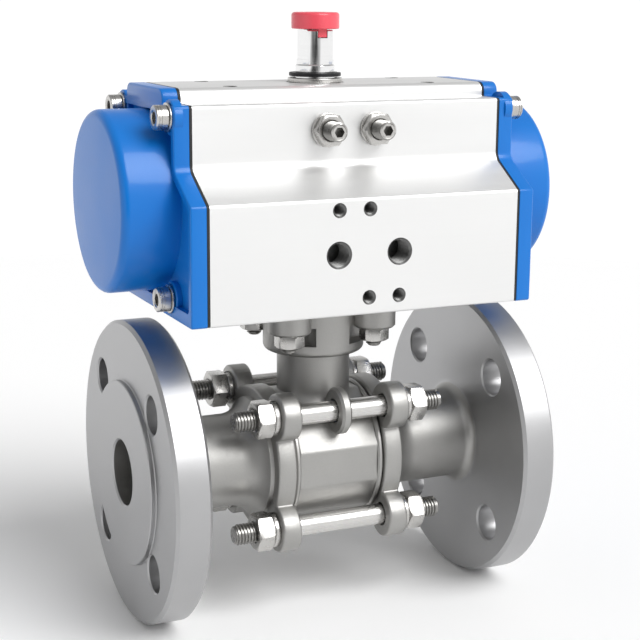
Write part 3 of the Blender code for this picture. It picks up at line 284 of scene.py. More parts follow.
def turned_face():
    """Flange face off the lathe: smoother, with fine rings round the bore."""
    finish = Finish("turned_face", metallic=1.0)
    cloud = finish.noise(30, 3)
    grain = finish.noise(3600, 2)
    rings = finish.rings(0.00042, (0, 0, PIPE_Z))
    finish.surface(
        base_color=finish.mix(cloud, (0.40, 0.40, 0.405), (0.49, 0.49, 0.495)),
        roughness=finish.ramp(cloud, 0.3, 0.7, 0.36, 0.46),
        normal=finish.bump(rings * 0.25 + grain * 0.5, 0.00004, 0.5),
    )
    return finish.material


def bright_bar():
    """Drawn bright bar, with faint lines along the pull and round the cut."""
    finish = Finish("bright_bar", metallic=1.0)
    lines = finish.noise(900, 2, (0.04, 1, 1))
    cloud = finish.noise(60, 2)
    finish.surface(
        base_color=finish.mix(cloud, (0.60, 0.59, 0.575), (0.70, 0.69, 0.675)),
        roughness=finish.ramp(lines, 0.3, 0.7, 0.20, 0.32),
        normal=finish.bump(lines, 0.00003, 0.3),
    )
    return finish.material


def stainless_fastener():
    """Forged and turned stainless of nuts, washers and screws."""
    finish = Finish("stainless_fastener", metallic=1.0)
    cloud = finish.noise(240, 3)
    grain = finish.noise(4200, 2)
    finish.surface(
        base_color=finish.mix(cloud, (0.46, 0.45, 0.435), (0.66, 0.65, 0.63)),
        roughness=finish.ramp(cloud, 0.3, 0.7, 0.22, 0.34),
        normal=finish.bump(grain + cloud * 0.6, 0.00004, 0.4),
    )
    return finish.material


def painted_thread_shade():
    """Thread faces in a dark, blotchy tone: painted shade standing in for the shade between the flanks."""
    finish = Finish("painted_thread_shade", metallic=1.0)
    thread_shade_noise = finish.noise(900, 3)
    finish.surface(
        # the dark greys are painted shade of the thread roots
        base_color=finish.mix(thread_shade_noise, (0.20, 0.195, 0.185), (0.44, 0.435, 0.42)),
        roughness=finish.ramp(thread_shade_noise, 0.3, 0.7, 0.26, 0.42),
        normal=finish.bump(thread_shade_noise, 0.00004, 0.4),
    )
    return finish.material


def anodised_extrusion():
    """Satin anodised aluminium with die lines along the extrusion and a fine etched grain."""
    finish = Finish("anodised_extrusion", metallic=0.7)
    die = finish.noise(1300, 2, (0.006, 1, 1))
    grain = finish.noise(4600, 2)
    cloud = finish.noise(14, 2, (0.3, 1, 1))
    finish.surface(
        base_color=finish.mix(cloud, (0.80, 0.80, 0.795), (0.84, 0.84, 0.835)),
        roughness=finish.ramp(die, 0.3, 0.7, 0.34, 0.46),
        normal=finish.bump(die * 0.6 + grain * 0.4, 0.00004, 0.35),
    )
    return finish.material


def painted_hole_shade():
    """Dark, blotchy tone down the tapped holes and ports: painted shade on their walls, floors and threads."""
    finish = Finish("painted_hole_shade", metallic=0.9)
    hole_shade_blotch = finish.noise(700, 3)
    finish.surface(
        # the dark greys are painted shade down the holes
        base_color=finish.mix(hole_shade_blotch, (0.10, 0.10, 0.10), (0.24, 0.24, 0.235)),
        roughness=finish.ramp(hole_shade_blotch, 0.3, 0.7, 0.35, 0.5),
        normal=finish.bump(hole_shade_blotch, 0.00003, 0.4),
    )
    return finish.material


def cap_coating():
    """Semi-gloss blue coating, with the soft ripple of sprayed paint over a casting."""
    finish = Finish("cap_coating", metallic=0.0, specular_ior_level=0.3, coat_weight=0.25, coat_roughness=0.12)
    ripple = finish.noise(420, 2)
    speck = finish.noise(2600, 2)
    cloud = finish.noise(25, 2)
    finish.surface(
        base_color=finish.mix(cloud, (0.0, 0.15, 0.54), (0.0, 0.175, 0.60)),
        roughness=finish.ramp(cloud, 0.3, 0.7, 0.34, 0.44),
        normal=finish.bump(ripple * 0.8 + speck * 0.2, 0.00012, 0.25),
    )
    return finish.material


def polished_shaft():
    """Nickel-bright shaft with fine turning lines."""
    finish = Finish("polished_shaft", metallic=1.0)
    lines = finish.noise(1600, 2, (0.02, 0.02, 1))
    finish.surface(
        base_color=finish.mix(lines, (0.80, 0.80, 0.80), (0.88, 0.88, 0.88)),
        roughness=finish.ramp(lines, 0.3, 0.7, 0.08, 0.16),
        normal=finish.bump(lines, 0.00002, 0.3),
    )
    return finish.material


def moulded(name, dark, light, roughness, grain_height, **constants):
    """Moulded plastic or rubber with a fine skin."""
    finish = Finish(name, metallic=0.0, **constants)
    cloud = finish.noise(90, 2)
    grain = finish.noise(2400, 2)
    finish.surface(
        base_color=finish.mix(cloud, dark, light),
        roughness=finish.ramp(cloud, 0.3, 0.7, roughness - 0.05, roughness + 0.05),
        normal=finish.bump(grain, grain_height, 0.5),
    )
    return finish.material


def black_spring():
    """Blackened spring steel, rubbed brighter in blotches."""
    finish = Finish("black_spring", metallic=0.8)
    cloud = finish.noise(500, 3)
    finish.surface(
        base_color=finish.mix(cloud, (0.012, 0.012, 0.013), (0.045, 0.045, 0.048)),
        roughness=finish.ramp(cloud, 0.3, 0.7, 0.38, 0.52),
        normal=finish.bump(cloud, 0.00003, 0.4),
    )
    return finish.material


CASTING = blasted_casting()
TURNED = turned_face()
BAR = bright_bar()
FASTENER = stainless_fastener()
THREAD_SHADE = painted_thread_shade()
ANODISED = anodised_extrusion()
HOLE_SHADE = painted_hole_shade()
COATING = cap_coating()
SHAFT = polished_shaft()
SPRING = black_spring()
RUBBER = moulded("nitrile_rubber", (0.012, 0.012, 0.012), (0.02, 0.02, 0.021), 0.62, 0.00005)
FLUOROPOLYMER = moulded("white_fluoropolymer", (0.82, 0.82, 0.80), (0.90, 0.90, 0.88), 0.48, 0.00003)
ACETAL = moulded("natural_acetal", (0.76, 0.74, 0.68), (0.84, 0.82, 0.76), 0.42, 0.00003)
RED = moulded("red_indicator", (0.76, 0.07, 0.10), (0.84, 0.09, 0.125), 0.34, 0.00003, coat_weight=0.2)
SLOT_FINISH = {
    "cast_steel": CASTING,
    "polished_steel": SHAFT,
    "body_aluminium": ANODISED,
    "cap_paint": COATING,
    "steel": FASTENER,
    "black_steel": SPRING,
    "rubber": RUBBER,
    "ptfe": FLUOROPOLYMER,
    "acetal": ACETAL,
    "indicator_red": RED,
}


# ---- Bench work -------------------------------------------------------------------------------------
def pick(piece):
    """Select one piece alone and make it the active one."""
    bpy.ops.object.select_all(action="DESELECT")
    piece.select_set(True)
    bpy.context.view_layer.objects.active = piece


def draw(name, points, origin=(0, 0, 0), face=False):
    """Draw a line point by point from a single vertex. It stays in edit mode with all of it selected."""
    bpy.ops.object.select_all(action="DESELECT")
    bpy.ops.mesh.primitive_plane_add(size=TINY, location=origin)
    piece = bpy.context.object
    piece.name = name
    piece.data.name = name
    bpy.ops.object.mode_set(mode="EDIT")
    bpy.ops.mesh.merge(type="CENTER")
    bpy.ops.transform.translate(value=points[0])
    for here, there in zip(points, points[1:]):
        bpy.ops.mesh.extrude_vertices_move(TRANSFORM_OT_translate={"value": there - here})
    bpy.ops.mesh.select_all(action="SELECT")
    if face:
        bpy.ops.mesh.edge_face_add()
    return piece


def close_up(piece):
    """Merge doubles, point the faces outward and put the piece's place into its mesh."""
    bpy.ops.mesh.select_all(action="SELECT")
    bpy.ops.mesh.remove_doubles(threshold=1e-6)
    bpy.ops.mesh.normals_make_consistent(inside=False)
    bpy.ops.object.mode_set(mode="OBJECT")
    pick(piece)
    bpy.ops.object.transform_apply(location=True, rotation=True, scale=True)
    return piece


def turned(name, profile, axis="X", centre=(0, 0, 0), steps=64, ring=False):
    """Turn a profile of (radius, along) points about an axis. A ring's profile is closed."""
    points = [OUTWARD[axis] * radius + AXES[axis] * along for radius, along in profile]
    piece = draw(name, points, centre, face=ring)
    if ring:
        bpy.ops.mesh.delete(type="ONLY_FACE")
        bpy.ops.mesh.select_all(action="SELECT")
    bpy.ops.mesh.spin(steps=steps, angle=2 * math.pi, use_auto_merge=True, center=centre, axis=AXES[axis])
    return close_up(piece)


def sawn(name, outline, start, end, axis="X"):
    """Draw an outline across an axis, face it and pull it out along the axis."""
    turn = {"X": lambda u, v: (start, u, v), "Y": lambda u, v: (u, start, v), "Z": lambda u, v: (u, v, start)}
    piece = draw(name, [Vector(turn[axis](u, v)) for u, v in outline], face=True)
    pull = AXES[axis] * (end - start)
    bpy.ops.mesh.extrude_region_move(TRANSFORM_OT_translate={"value": pull})
    return close_up(piece)


def slab(name, low, high):
    """Rectangular bar between two corners."""
    outline = [(low[0], low[1]), (high[0], low[1]), (high[0], high[1]), (low[0], high[1])]
    return sawn(name, outline, low[2], high[2], "Z")


def work(piece, tool, operation):
    """Cut, weld or trim a piece with a tool, and use the tool up."""
    pick(piece)
    step = piece.modifiers.new(operation, "BOOLEAN")
    step.operation = operation
    step.solver = "EXACT"
    step.object = tool
    bpy.ops.object.modifier_apply(modifier=step.name)
    bpy.data.objects.remove(tool)
    return piece


def drill(piece, tool):
    return work(piece, tool, "DIFFERENCE")


def weld(piece, tool):
    return work(piece, tool, "UNION")


def trim(piece, tool):
    return work(piece, tool, "INTERSECT")


def soften(piece, width, steps=2, angle=30):
    """Round every edge that is sharper than an angle."""
    pick(piece)
    edge = piece.modifiers.new("soft_edges", "BEVEL")
    edge.width = width
    edge.segments = steps
    edge.limit_method = "ANGLE"
    edge.angle_limit = math.radians(angle)
    bpy.ops.object.modifier_apply(modifier=edge.name)
    return piece


def round_over(piece, width, steps, wanted):
    """Bevel the edges that a test on their middle and direction picks out."""
    pick(piece)
    bpy.ops.object.mode_set(mode="EDIT")
    bpy.ops.mesh.select_mode(type="EDGE")
    bpy.ops.mesh.select_all(action="DESELECT")
    mesh = bmesh.from_edit_mesh(piece.data)
    for edge in mesh.edges:
        first, second = (corner.co for corner in edge.verts)
        edge.select = wanted((first + second) / 2, (second - first).normalized())
    bmesh.update_edit_mesh(piece.data)
    bpy.ops.mesh.bevel(offset=width, segments=steps, affect="EDGES")
    bpy.ops.mesh.select_mode(type="VERT")
    bpy.ops.object.mode_set(mode="OBJECT")
    return piece


def gather(piece, *others):
    """Join closed shells into one piece."""
    pick(piece)
    for other in others:
        other.select_set(True)
    bpy.ops.object.join()
    return piece


def thread(name, crest, depth, pitch, start, end, axis, centre=(0, 0, 0), inward=False):
    """Helical thread ridge with closed ends. An inward one stands on the wall of a hole."""
    side = -1 if inward else 1
    root = crest - side * depth
    sunk = root - side * depth * 0.4
    section = [(sunk, -0.47 * pitch), (crest, -0.10 * pitch), (crest, 0.10 * pitch), (sunk, 0.47 * pitch)]
    points = [OUTWARD[axis] * radius + AXES[axis] * (start + along) for radius, along in section]
    ridge = draw(name, points, centre, face=True)
    bpy.ops.mesh.delete(type="ONLY_FACE")
    bpy.ops.object.mode_set(mode="OBJECT")
    helix = ridge.modifiers.new("helix", "SCREW")
    helix.axis = axis
    helix.steps = 24
    helix.render_steps = 24
    helix.screw_offset = pitch
    helix.iterations = max(1, round((end - start) / pitch))
    bpy.ops.object.modifier_apply(modifier=helix.name)
    bpy.ops.object.mode_set(mode="EDIT")
    bpy.ops.mesh.select_all(action="SELECT")
    bpy.ops.mesh.fill_holes(sides=4)
    return close_up(ridge)


def copy_of(source, name, shift=(0, 0, 0), turn=0.0):
    """Duplicate with its own mesh, turned about the stem's axis and moved."""
    pick(source)
    bpy.ops.object.duplicate(linked=False)
    twin = bpy.context.object
    twin.name = name
    twin.data.name = name
    twin.rotation_euler.z = turn
    twin.location = shift
    bpy.ops.object.transform_apply(location=True, rotation=True, scale=True)
    return twin


def fit(piece, body, slot, finish, *stands_for, angle=32):
    """Shade a finished piece, give it its finish and fit it to its body."""
    pick(piece)
    bpy.ops.object.shade_smooth_by_angle(angle=math.radians(angle))
    if not piece.data.materials:
        piece.data.materials.append(finish)
    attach(piece, body)
    if stands_for:
        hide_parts(*stands_for)
    return piece


def faced(piece, finishes, chosen):
    """Give faces different finishes: chosen(middle, normal) is the number of each face's finish."""
    piece.data.materials.clear()
    for finish in finishes:
        piece.data.materials.append(finish)
    for face in piece.data.polygons:
        face.material_index = chosen(face.center, face.normal)


def arc(centre, radius, start, end, steps):
    """Points of an arc from one angle to another, in degrees."""
    angles = [math.radians(start + (end - start) * i / steps) for i in range(steps + 1)]
    return [(centre[0] + radius * math.cos(a), centre[1] + radius * math.sin(a)) for a in angles]


def cornered(corners, steps=6):
    """Outline through (u, v, radius) corners, with an arc wherever the radius isn't zero."""
    outline = []
    for index, (u, v, radius) in enumerate(corners):
        here = Vector((u, v))
        if not radius:
            outline.append((u, v))
            continue
        before = (Vector(corners[index - 1][:2]) - here).normalized()
        after = (Vector(corners[(index + 1) % len(corners)][:2]) - here).normalized()
        half = before.angle(after) / 2
        middle = here + (before + after).normalized() * (radius / math.sin(half))
        first = here + before * (radius / math.tan(half)) - middle
        turn = math.pi - 2 * half
        if before.x * after.y - before.y * after.x > 0:
            turn = -turn
        for step in range(steps + 1):
            point = middle + Matrix.Rotation(turn * step / steps, 2) @ first
            outline.append((point.x, point.y))
    return outline


def hexagon(across_flats, centre=(0, 0), turn=0.0):
    """Outline of a hexagon."""
    return arc(centre, across_flats / math.sqrt(3), turn, turn + 300, 5)


# ---- Flanged end pieces -----------------------------------------------------------------------------
def lobed_outline():
    """Lug plate's outline: a disc with a round lobe at each tie rod."""
    outline = []
    reach = math.hypot(ROD_Y, ROD_Z)
    at_disc = math.acos((LUG_DISC_R ** 2 + reach ** 2 - LUG_R ** 2) / (2 * LUG_DISC_R * reach))
    at_lobe = math.pi - math.acos((LUG_R ** 2 + reach ** 2 - LUG_DISC_R ** 2) / (2 * LUG_R * reach))
    angles = [math.atan2(z * ROD_Z, y * ROD_Y) for y, z in QUADRANTS]
    for index, (y, z) in enumerate(QUADRANTS):
        angle = angles[index]
        following = angle + (angles[(index + 1) % 4] - angle) % (2 * math.pi)
        lobe = (y * ROD_Y, PIPE_Z + z * ROD_Z)
        outline += arc(lobe, LUG_R, math.degrees(angle - at_lobe), math.degrees(angle + at_lobe), 20)
        disc = arc((0, PIPE_Z), LUG_DISC_R, math.degrees(angle + at_disc), math.degrees(following - at_disc), 16)
        outline += disc[1:-1]
    return outline


def chamfered_drill(name, radius, start, end, chamfer, axis, centre, steps=40):
    """Drill whose cut leaves a small chamfer at both faces."""
    profile = [
        (0, start - TINY),
        (radius + chamfer, start - TINY),
        (radius + chamfer, start),
        (radius, start + chamfer),
        (radius, end - chamfer),
        (radius + chamfer, end),
        (radius + chamfer, end + TINY),
        (0, end + TINY),
    ]
    return turned(name, profile, axis, centre, steps)


def end_pieces():
    """Flange, pipe, hub and lug plate in one casting, with a turned face."""
    edge = 0.0003
    hub = [(r, x) for x, r in arc((LUG_OUT + HUB_LENGTH, PIPE_R + HUB_LENGTH), HUB_LENGTH, -90, -180, 18)
           if r < HUB_R]
    fillet = [(r, x) for x, r in arc((FLANGE_BACK_X - FLANGE_FILLET, PIPE_R + FLANGE_FILLET),
                                     FLANGE_FILLET, 0, -90, 8)]
    profile = [
        (BORE_R, SPIGOT_END),
        (BORE_R, FACE_X - 2 * edge),
        (BORE_R + 2 * edge, FACE_X),
        (RAISED_FACE_R - edge, FACE_X),
        (RAISED_FACE_R, FACE_X - edge),
        (RAISED_FACE_R, FLANGE_FRONT_X + edge),
        (RAISED_FACE_R + edge, FLANGE_FRONT_X),
        (FLANGE_R - RIM_CHAMFER, FLANGE_FRONT_X),
        (FLANGE_R, FLANGE_FRONT_X - RIM_CHAMFER),
        (FLANGE_R, FLANGE_BACK_X + RIM_CHAMFER),
        (FLANGE_R - RIM_CHAMFER, FLANGE_BACK_X),
        *fillet,
        *hub,
        (HUB_R, LUG_OUT - TINY),
        (SPIGOT_R, LUG_OUT - TINY),
        (SPIGOT_R, SPIGOT_END),
    ]
    casting = turned("right_flanged_end", profile, "X", (0, 0, PIPE_Z), 128, ring=True)
    plate = sawn("lug_plate", lobed_outline(), LUG_IN, LUG_OUT)
    drill(plate, turned("register", [(0, 0), (SPIGOT_R - edge, 0), (SPIGOT_R - edge, FACE_X), (0, FACE_X)],
                        "X", (0, 0, PIPE_Z), 128))
    for y, z in QUADRANTS:
        centre = (0, y * ROD_Y, PIPE_Z + z * ROD_Z)
        drill(plate, chamfered_drill("rod_drill", ROD_HOLE_R, LUG_IN, LUG_OUT, edge, "X", centre, 32))
    soften(plate, 0.0009, 3, 50)
    weld(casting, plate)
    spread = BOLT_CIRCLE_R / math.sqrt(2)
    for y, z in QUADRANTS:
        centre = (0, y * spread, PIPE_Z + z * spread)
        drill(casting, chamfered_drill("bolt_drill", BOLT_HOLE_R, FLANGE_BACK_X, FLANGE_FRONT_X, 2 * edge, "X", centre))
    machined_from = FLANGE_BACK_X - GAP
    faced(casting, [CASTING, TURNED], lambda middle, normal: int(abs(middle.x) > machined_from))
    twin = copy_of(casting, "left_flanged_end", turn=math.pi)
    fit(casting, "housing", "cast_steel", CASTING, "right_end_piece")
    fit(twin, "housing", "cast_steel", CASTING, "left_end_piece")


# ---- Valve's centre body ----------------------------------------------------------------------------
def centre_body():
    """Faceted barrel with its rings, eyes, neck and pad."""
    radius = CORE_FLAT / math.cos(math.pi / CORE_SIDES)
    half_side = 180 / CORE_SIDES
    flats = arc((0, PIPE_Z), radius, half_side, half_side + 360 - 2 * half_side, CORE_SIDES - 1)
    ring_in = CORE_HALF_LENGTH - CORE_RING
    barrel = sawn("centre_casting", flats, -ring_in - GAP, ring_in + GAP)
    soften(barrel, 0.0007, 3, 20)
    ring_edge = 0.0006
    for side in (-1, 1):
        ring = [
            (0, side * ring_in),
            (CORE_RING_R - ring_edge, side * ring_in),
            (CORE_RING_R, side * (ring_in + ring_edge)),
            (CORE_RING_R, side * (CORE_HALF_LENGTH - ring_edge)),
            (CORE_RING_R - ring_edge, side * CORE_HALF_LENGTH),
            (0, side * CORE_HALF_LENGTH),
        ]
        weld(barrel, turned("ring", ring, "X", (0, 0, PIPE_Z), 96))
        eye_edge = 0.0009
        eye = [
            (0, -EYE / 2),
            (EYE_R - eye_edge, -EYE / 2),
            (EYE_R, eye_edge - EYE / 2),
            (EYE_R, EYE / 2 - eye_edge),
            (EYE_R - eye_edge, EYE / 2),
            (0, EYE / 2),
        ]
        weld(barrel, turned("eye", eye, "X", (0, side * ROD_Y, PIPE_Z + ROD_Z), 40))
    flare_z = PIPE_Z + CORE_FLAT + TINY
    flare = arc((NECK_R + NECK_FLARE, flare_z), NECK_FLARE, 180, 270, 10)
    neck = [(0, flare_z - NECK_FLARE), *reversed(flare), (NECK_R, PAD_BOTTOM_Z + TINY), (0, PAD_BOTTOM_Z + TINY)]
    neck = turned("neck", neck, "Z", (0, 0, 0), 96)
    wide = NECK_R + NECK_FLARE + TINY
    trim(neck, slab("jaw", (-CORE_HALF_LENGTH, -wide, PIPE_Z), (CORE_HALF_LENGTH, wide, PAD_TOP_Z)))
    weld(barrel, neck)
    pad = turned("pad", [
        (0, PAD_BOTTOM_Z),
        *[(r, z) for r, z in arc((PAD_R - PAD_EDGE, PAD_BOTTOM_Z + PAD_EDGE), PAD_EDGE, -90, 0, 6)],
        (PAD_R, PAD_TOP_Z),
        (0, PAD_TOP_Z),
    ], "Z", (0, 0, 0), 96)
    ear_edge = 0.0008
    for x, y in QUADRANTS:
        centre = (x * PAD_XY, y * PAD_XY, 0)
        pocket = [(0, POCKET_FLOOR_Z), (POCKET_R, POCKET_FLOOR_Z), (POCKET_R, EAR_BOTTOM_Z + TINY), (0, EAR_BOTTOM_Z + TINY)]
        drill(pad, turned("pocket", pocket, "Z", centre, 48))
        ear = [
            (0, EAR_BOTTOM_Z),
            (EAR_R - ear_edge, EAR_BOTTOM_Z),
            (EAR_R, EAR_BOTTOM_Z + ear_edge),
            (EAR_R, PAD_TOP_Z),
            (0, PAD_TOP_Z),
        ]
        weld(pad, turned("ear", ear, "Z", centre, 48))
    weld(barrel, pad)
    for x, y in QUADRANTS:
        shank = [(0, EAR_BOTTOM_Z - TINY), (STUD_R + GAP, EAR_BOTTOM_Z - TINY),
                 (STUD_R + GAP, PAD_TOP_Z + TINY), (0, PAD_TOP_Z + TINY)]
        drill(barrel, turned("stud_drill", shank, "Z", (x * PAD_XY, y * PAD_XY, 0), 24))
    for side in (-1, 1):
        centre = (0, side * ROD_Y, PIPE_Z + ROD_Z)
        drill(barrel, chamfered_drill("eye_drill", ROD_HOLE_R, -EYE / 2, EYE / 2, GAP, "X", centre, 32))
    cavity = SPIGOT_R + GAP
    long = CORE_HALF_LENGTH + TINY
    drill(barrel, turned("cavity", [(0, -long), (cavity, -long), (cavity, long), (0, long)], "X", (0, 0, PIPE_Z), 96))
    stem_way = [(0, PIPE_Z), (0.0093, PIPE_Z), (0.0093, 0.0813), (0.0072, 0.0813), (0.0072, 0.0855),
                (0.0107, 0.0855), (0.0107, 0.0986), (0.012, 0.0986), (0.012, PAD_TOP_Z + TINY), (0, PAD_TOP_Z + TINY)]
    drill(barrel, turned("stem_way", stem_way, "Z", (0, 0, 0), 48))
    fit(barrel, "housing", "cast_steel", CASTING, "valve_body", angle=28)


# ---- Tie rods, nuts and studs -----------------------------------------------------------------------
def hex_nut(name, across_flats, start, end, bore, axis, centre, turn=0.0):
    """Hexagon bar, chamfered on the lathe at both faces and drilled."""
    low, high = min(start, end), max(start, end)
    flat = across_flats / 2
    corner = across_flats / math.sqrt(3)
    bevel = (corner - flat) * math.tan(math.radians(30))
    chamfer = [
        (0, low),
        (flat * 0.97, low),
        (corner * 1.01, low + bevel * 1.25),
        (corner * 1.01, high - bevel * 1.25),
        (flat * 0.97, high),
        (0, high),
    ]
    across = {"X": centre[1:], "Y": (centre[0], centre[2]), "Z": centre[:2]}[axis]
    nut = sawn(name, hexagon(across_flats, across, turn), low, high, axis)
    trim(nut, turned("chamfer", chamfer, axis, centre, 60))
    drill(nut, chamfered_drill("bore", bore, low, high, 0.0004, axis, centre, 36))
    return soften(nut, 0.00012, 2, 25)


def spring_washer(name, inner, outer, start, end, centre):
    """Ring along X with rounded edges and a slanted split at its top."""
    edge = 0.00035
    section = cornered([(inner, start, edge), (outer, start, edge), (outer, end, edge), (inner, end, edge)], 3)
    ring = turned(name, section, "X", centre, 56, ring=True)
    split = 0.0005
    slant = [(start - TINY, centre[1] - split), (start - TINY, centre[1] + split),
             (end + TINY, centre[1] + 3 * split), (end + TINY, centre[1] + split)]
    return drill(ring, sawn("blade", slant, centre[2] + inner - TINY, centre[2] + outer + TINY, "Z"))


def tie_rods():
    """Four bright rods with rolled threads, a nut and a spring washer at each end."""
    depth = 0.00062
    tip = 0.0008
    root = ROD_R - depth
    thread_from = LUG_OUT - 0.004
    profile = [
        (0, -ROD_HALF),
        (root - tip / 2, -ROD_HALF),
        (root, -ROD_HALF + tip / 2),
        (root, -thread_from),
        (ROD_R, -thread_from + depth),
        (ROD_R, thread_from - depth),
        (root, thread_from),
        (root, ROD_HALF - tip / 2),
        (root - tip / 2, ROD_HALF),
        (0, ROD_HALF),
    ]
    centre = Vector((0, -ROD_Y, PIPE_Z - ROD_Z))
    rod = turned("tie_rod_bar", profile, "X", centre, 48)
    for start, end in ((tip - ROD_HALF, -thread_from), (thread_from, ROD_HALF - tip)):
        gather(rod, thread("coils", ROD_R, depth, ROD_PITCH, start, end, "X", centre))
    # the threaded lengths take the painted thread shade
    faced(rod, [BAR, THREAD_SHADE], lambda middle, normal: int(thread_from < abs(middle.x) < ROD_HALF - TINY / 10))
    nut_in = LUG_OUT + GAP + SPRING_WASHER
    right_nut = hex_nut("tie_nut_right", NUT_AF, nut_in, nut_high.x, ROD_R + GAP / 3, "X", centre)
    right_washer = spring_washer("spring_washer_right", ROD_R + GAP, SPRING_WASHER_R,
                                 LUG_OUT + GAP / 3, nut_in - GAP / 3, centre)
    left_nut = copy_of(right_nut, "tie_nut_left", 2 * Vector((0, centre.y, 0)), math.pi)
    left_washer = copy_of(right_washer, "spring_washer_left", 2 * Vector((0, centre.y, 0)), math.pi)
    for index, (y, z) in enumerate(QUADRANTS, start=1):
        shift = Vector((0, y * ROD_Y, PIPE_Z + z * ROD_Z)) - centre
        fit(copy_of(rod, f"tie_rod_{index}_bar", shift), "housing", "steel", BAR, f"tie_rod_{index}")
        fit(copy_of(right_nut, f"tie_nut_right_{index}", shift), "housing", "steel", FASTENER, f"tie_rod_nut_{index}")
        fit(copy_of(right_washer, f"spring_washer_right_{index}", shift), "housing", "steel", FASTENER)
        fit(copy_of(left_nut, f"tie_nut_left_{index}", shift), "housing", "steel", FASTENER)
        fit(copy_of(left_washer, f"spring_washer_left_{index}", shift), "housing", "steel", FASTENER)
    for pattern in (rod, right_nut, right_washer, left_nut, left_washer):
        bpy.data.objects.remove(pattern)


def pad_studs():
    """Studs with nuts under the ears of the pad."""
    depth = 0.0005
    centre = Vector((-PAD_XY, -PAD_XY, 0))
    nut_top = EAR_BOTTOM_Z - GAP
    nut_bottom = nut_top - 0.005
    profile = [
        (0, stud_low.z),
        (STUD_R - 2 * depth, stud_low.z),
        (STUD_R - depth, stud_low.z + depth),
        (STUD_R - depth, nut_top),
        (STUD_R, nut_top + depth),
        (STUD_R, stud_high.z),
        (0, stud_high.z),
    ]
    stud = turned("pad_stud_bar", profile, "Z", centre, 36)
    gather(stud, thread("coils", STUD_R, depth, 0.001, stud_low.z + depth, nut_bottom + TINY, "Z", centre))
    # the threaded length takes the painted thread shade
    faced(stud, [FASTENER, THREAD_SHADE], lambda middle, normal: int(middle.z > stud_low.z + depth))
    nut = hex_nut("pad_nut", PAD_NUT_AF, nut_bottom, nut_top, STUD_R + GAP / 3, "Z", centre, 30)
    for index, (x, y) in enumerate(QUADRANTS, start=1):
        shift = Vector((x * PAD_XY, y * PAD_XY, 0)) - centre
        fit(copy_of(stud, f"pad_stud_{index}_bar", shift), "housing", "steel", FASTENER, f"pad_stud_{index}")
        fit(copy_of(nut, f"pad_nut_{index}", shift), "housing", "steel", FASTENER)
    for pattern in (stud, nut):
        bpy.data.objects.remove(pattern)


# ---- Actuator body ----------------------------------------------------------------------------------
def mirrored_outline(half, steps=6):
    """Outline from the corners of its right half."""
    return cornered(half + [(-y, z, radius) for y, z, radius in reversed(half)], steps)


def body_outline(inset=0.0):
    """Section of the extrusion, or the same line moved in by an inset."""
    return mirrored_outline([
        (RAIL_HALF - inset, BODY_TOP_Z - inset, RAIL_ROUND),
        (RAIL_HALF - inset, SHOULDER_Z - inset, 0.0004),
        (UPPER_HALF - inset, SHOULDER_Z - inset, 0.0012),
        (UPPER_HALF - inset, SLOPE_TOP_Z, SLOPE_ROUND),
        (BODY_FRONT - inset, SLOPE_BOTTOM_Z, 0.0016),
        (BODY_FRONT - inset, BODY_BOTTOM_Z + inset, 0.0010),
    ])


def field_outline():
    """Recessed field of a cap: inside its rim, under the rail and above the sill."""
    side = UPPER_HALF - CAP_RIM
    front = BODY_FRONT - CAP_RIM
    drop = CAP_RIM * 0.6
    return mirrored_outline([
        (side, SHOULDER_Z - CAP_RIM, 0.002),
        (side, SLOPE_TOP_Z - drop, SLOPE_ROUND),
        (front, SLOPE_BOTTOM_Z - drop, 0.0016),
        (front, BODY_BOTTOM_Z + CAP_SILL, 0.0016),
    ], 4)


def tapped_hole(body, radius, pitch, mouth, floor, axis, centre, steps=32):
    """Drill a countersunk hole and stand its thread on the wall."""
    out = 1 if mouth > floor else -1
    profile = [
        (0, mouth + out * TINY),
        (radius + SINK, mouth + out * TINY),
        (radius + SINK, mouth),
        (radius, mouth - out * SINK),
        (radius, floor),
        (0, floor),
    ]
    drill(body, turned("tap_drill", profile, axis, centre, steps))
    low, high = sorted((mouth - out * SINK, floor + out * SINK))
    return thread("tapped", radius - pitch * 0.45, pitch * 0.5, pitch, low, high, axis, centre, inward=True)


def down_hole(point, mouth, inward, radius):
    """Whether a point is on the wall, the floor or the thread of a hole."""
    offset = point - Vector(mouth)
    depth = offset.dot(inward)
    return TINY / 10 < depth < HOLE_DEEPEST and (offset - inward * depth).length < radius + SINK


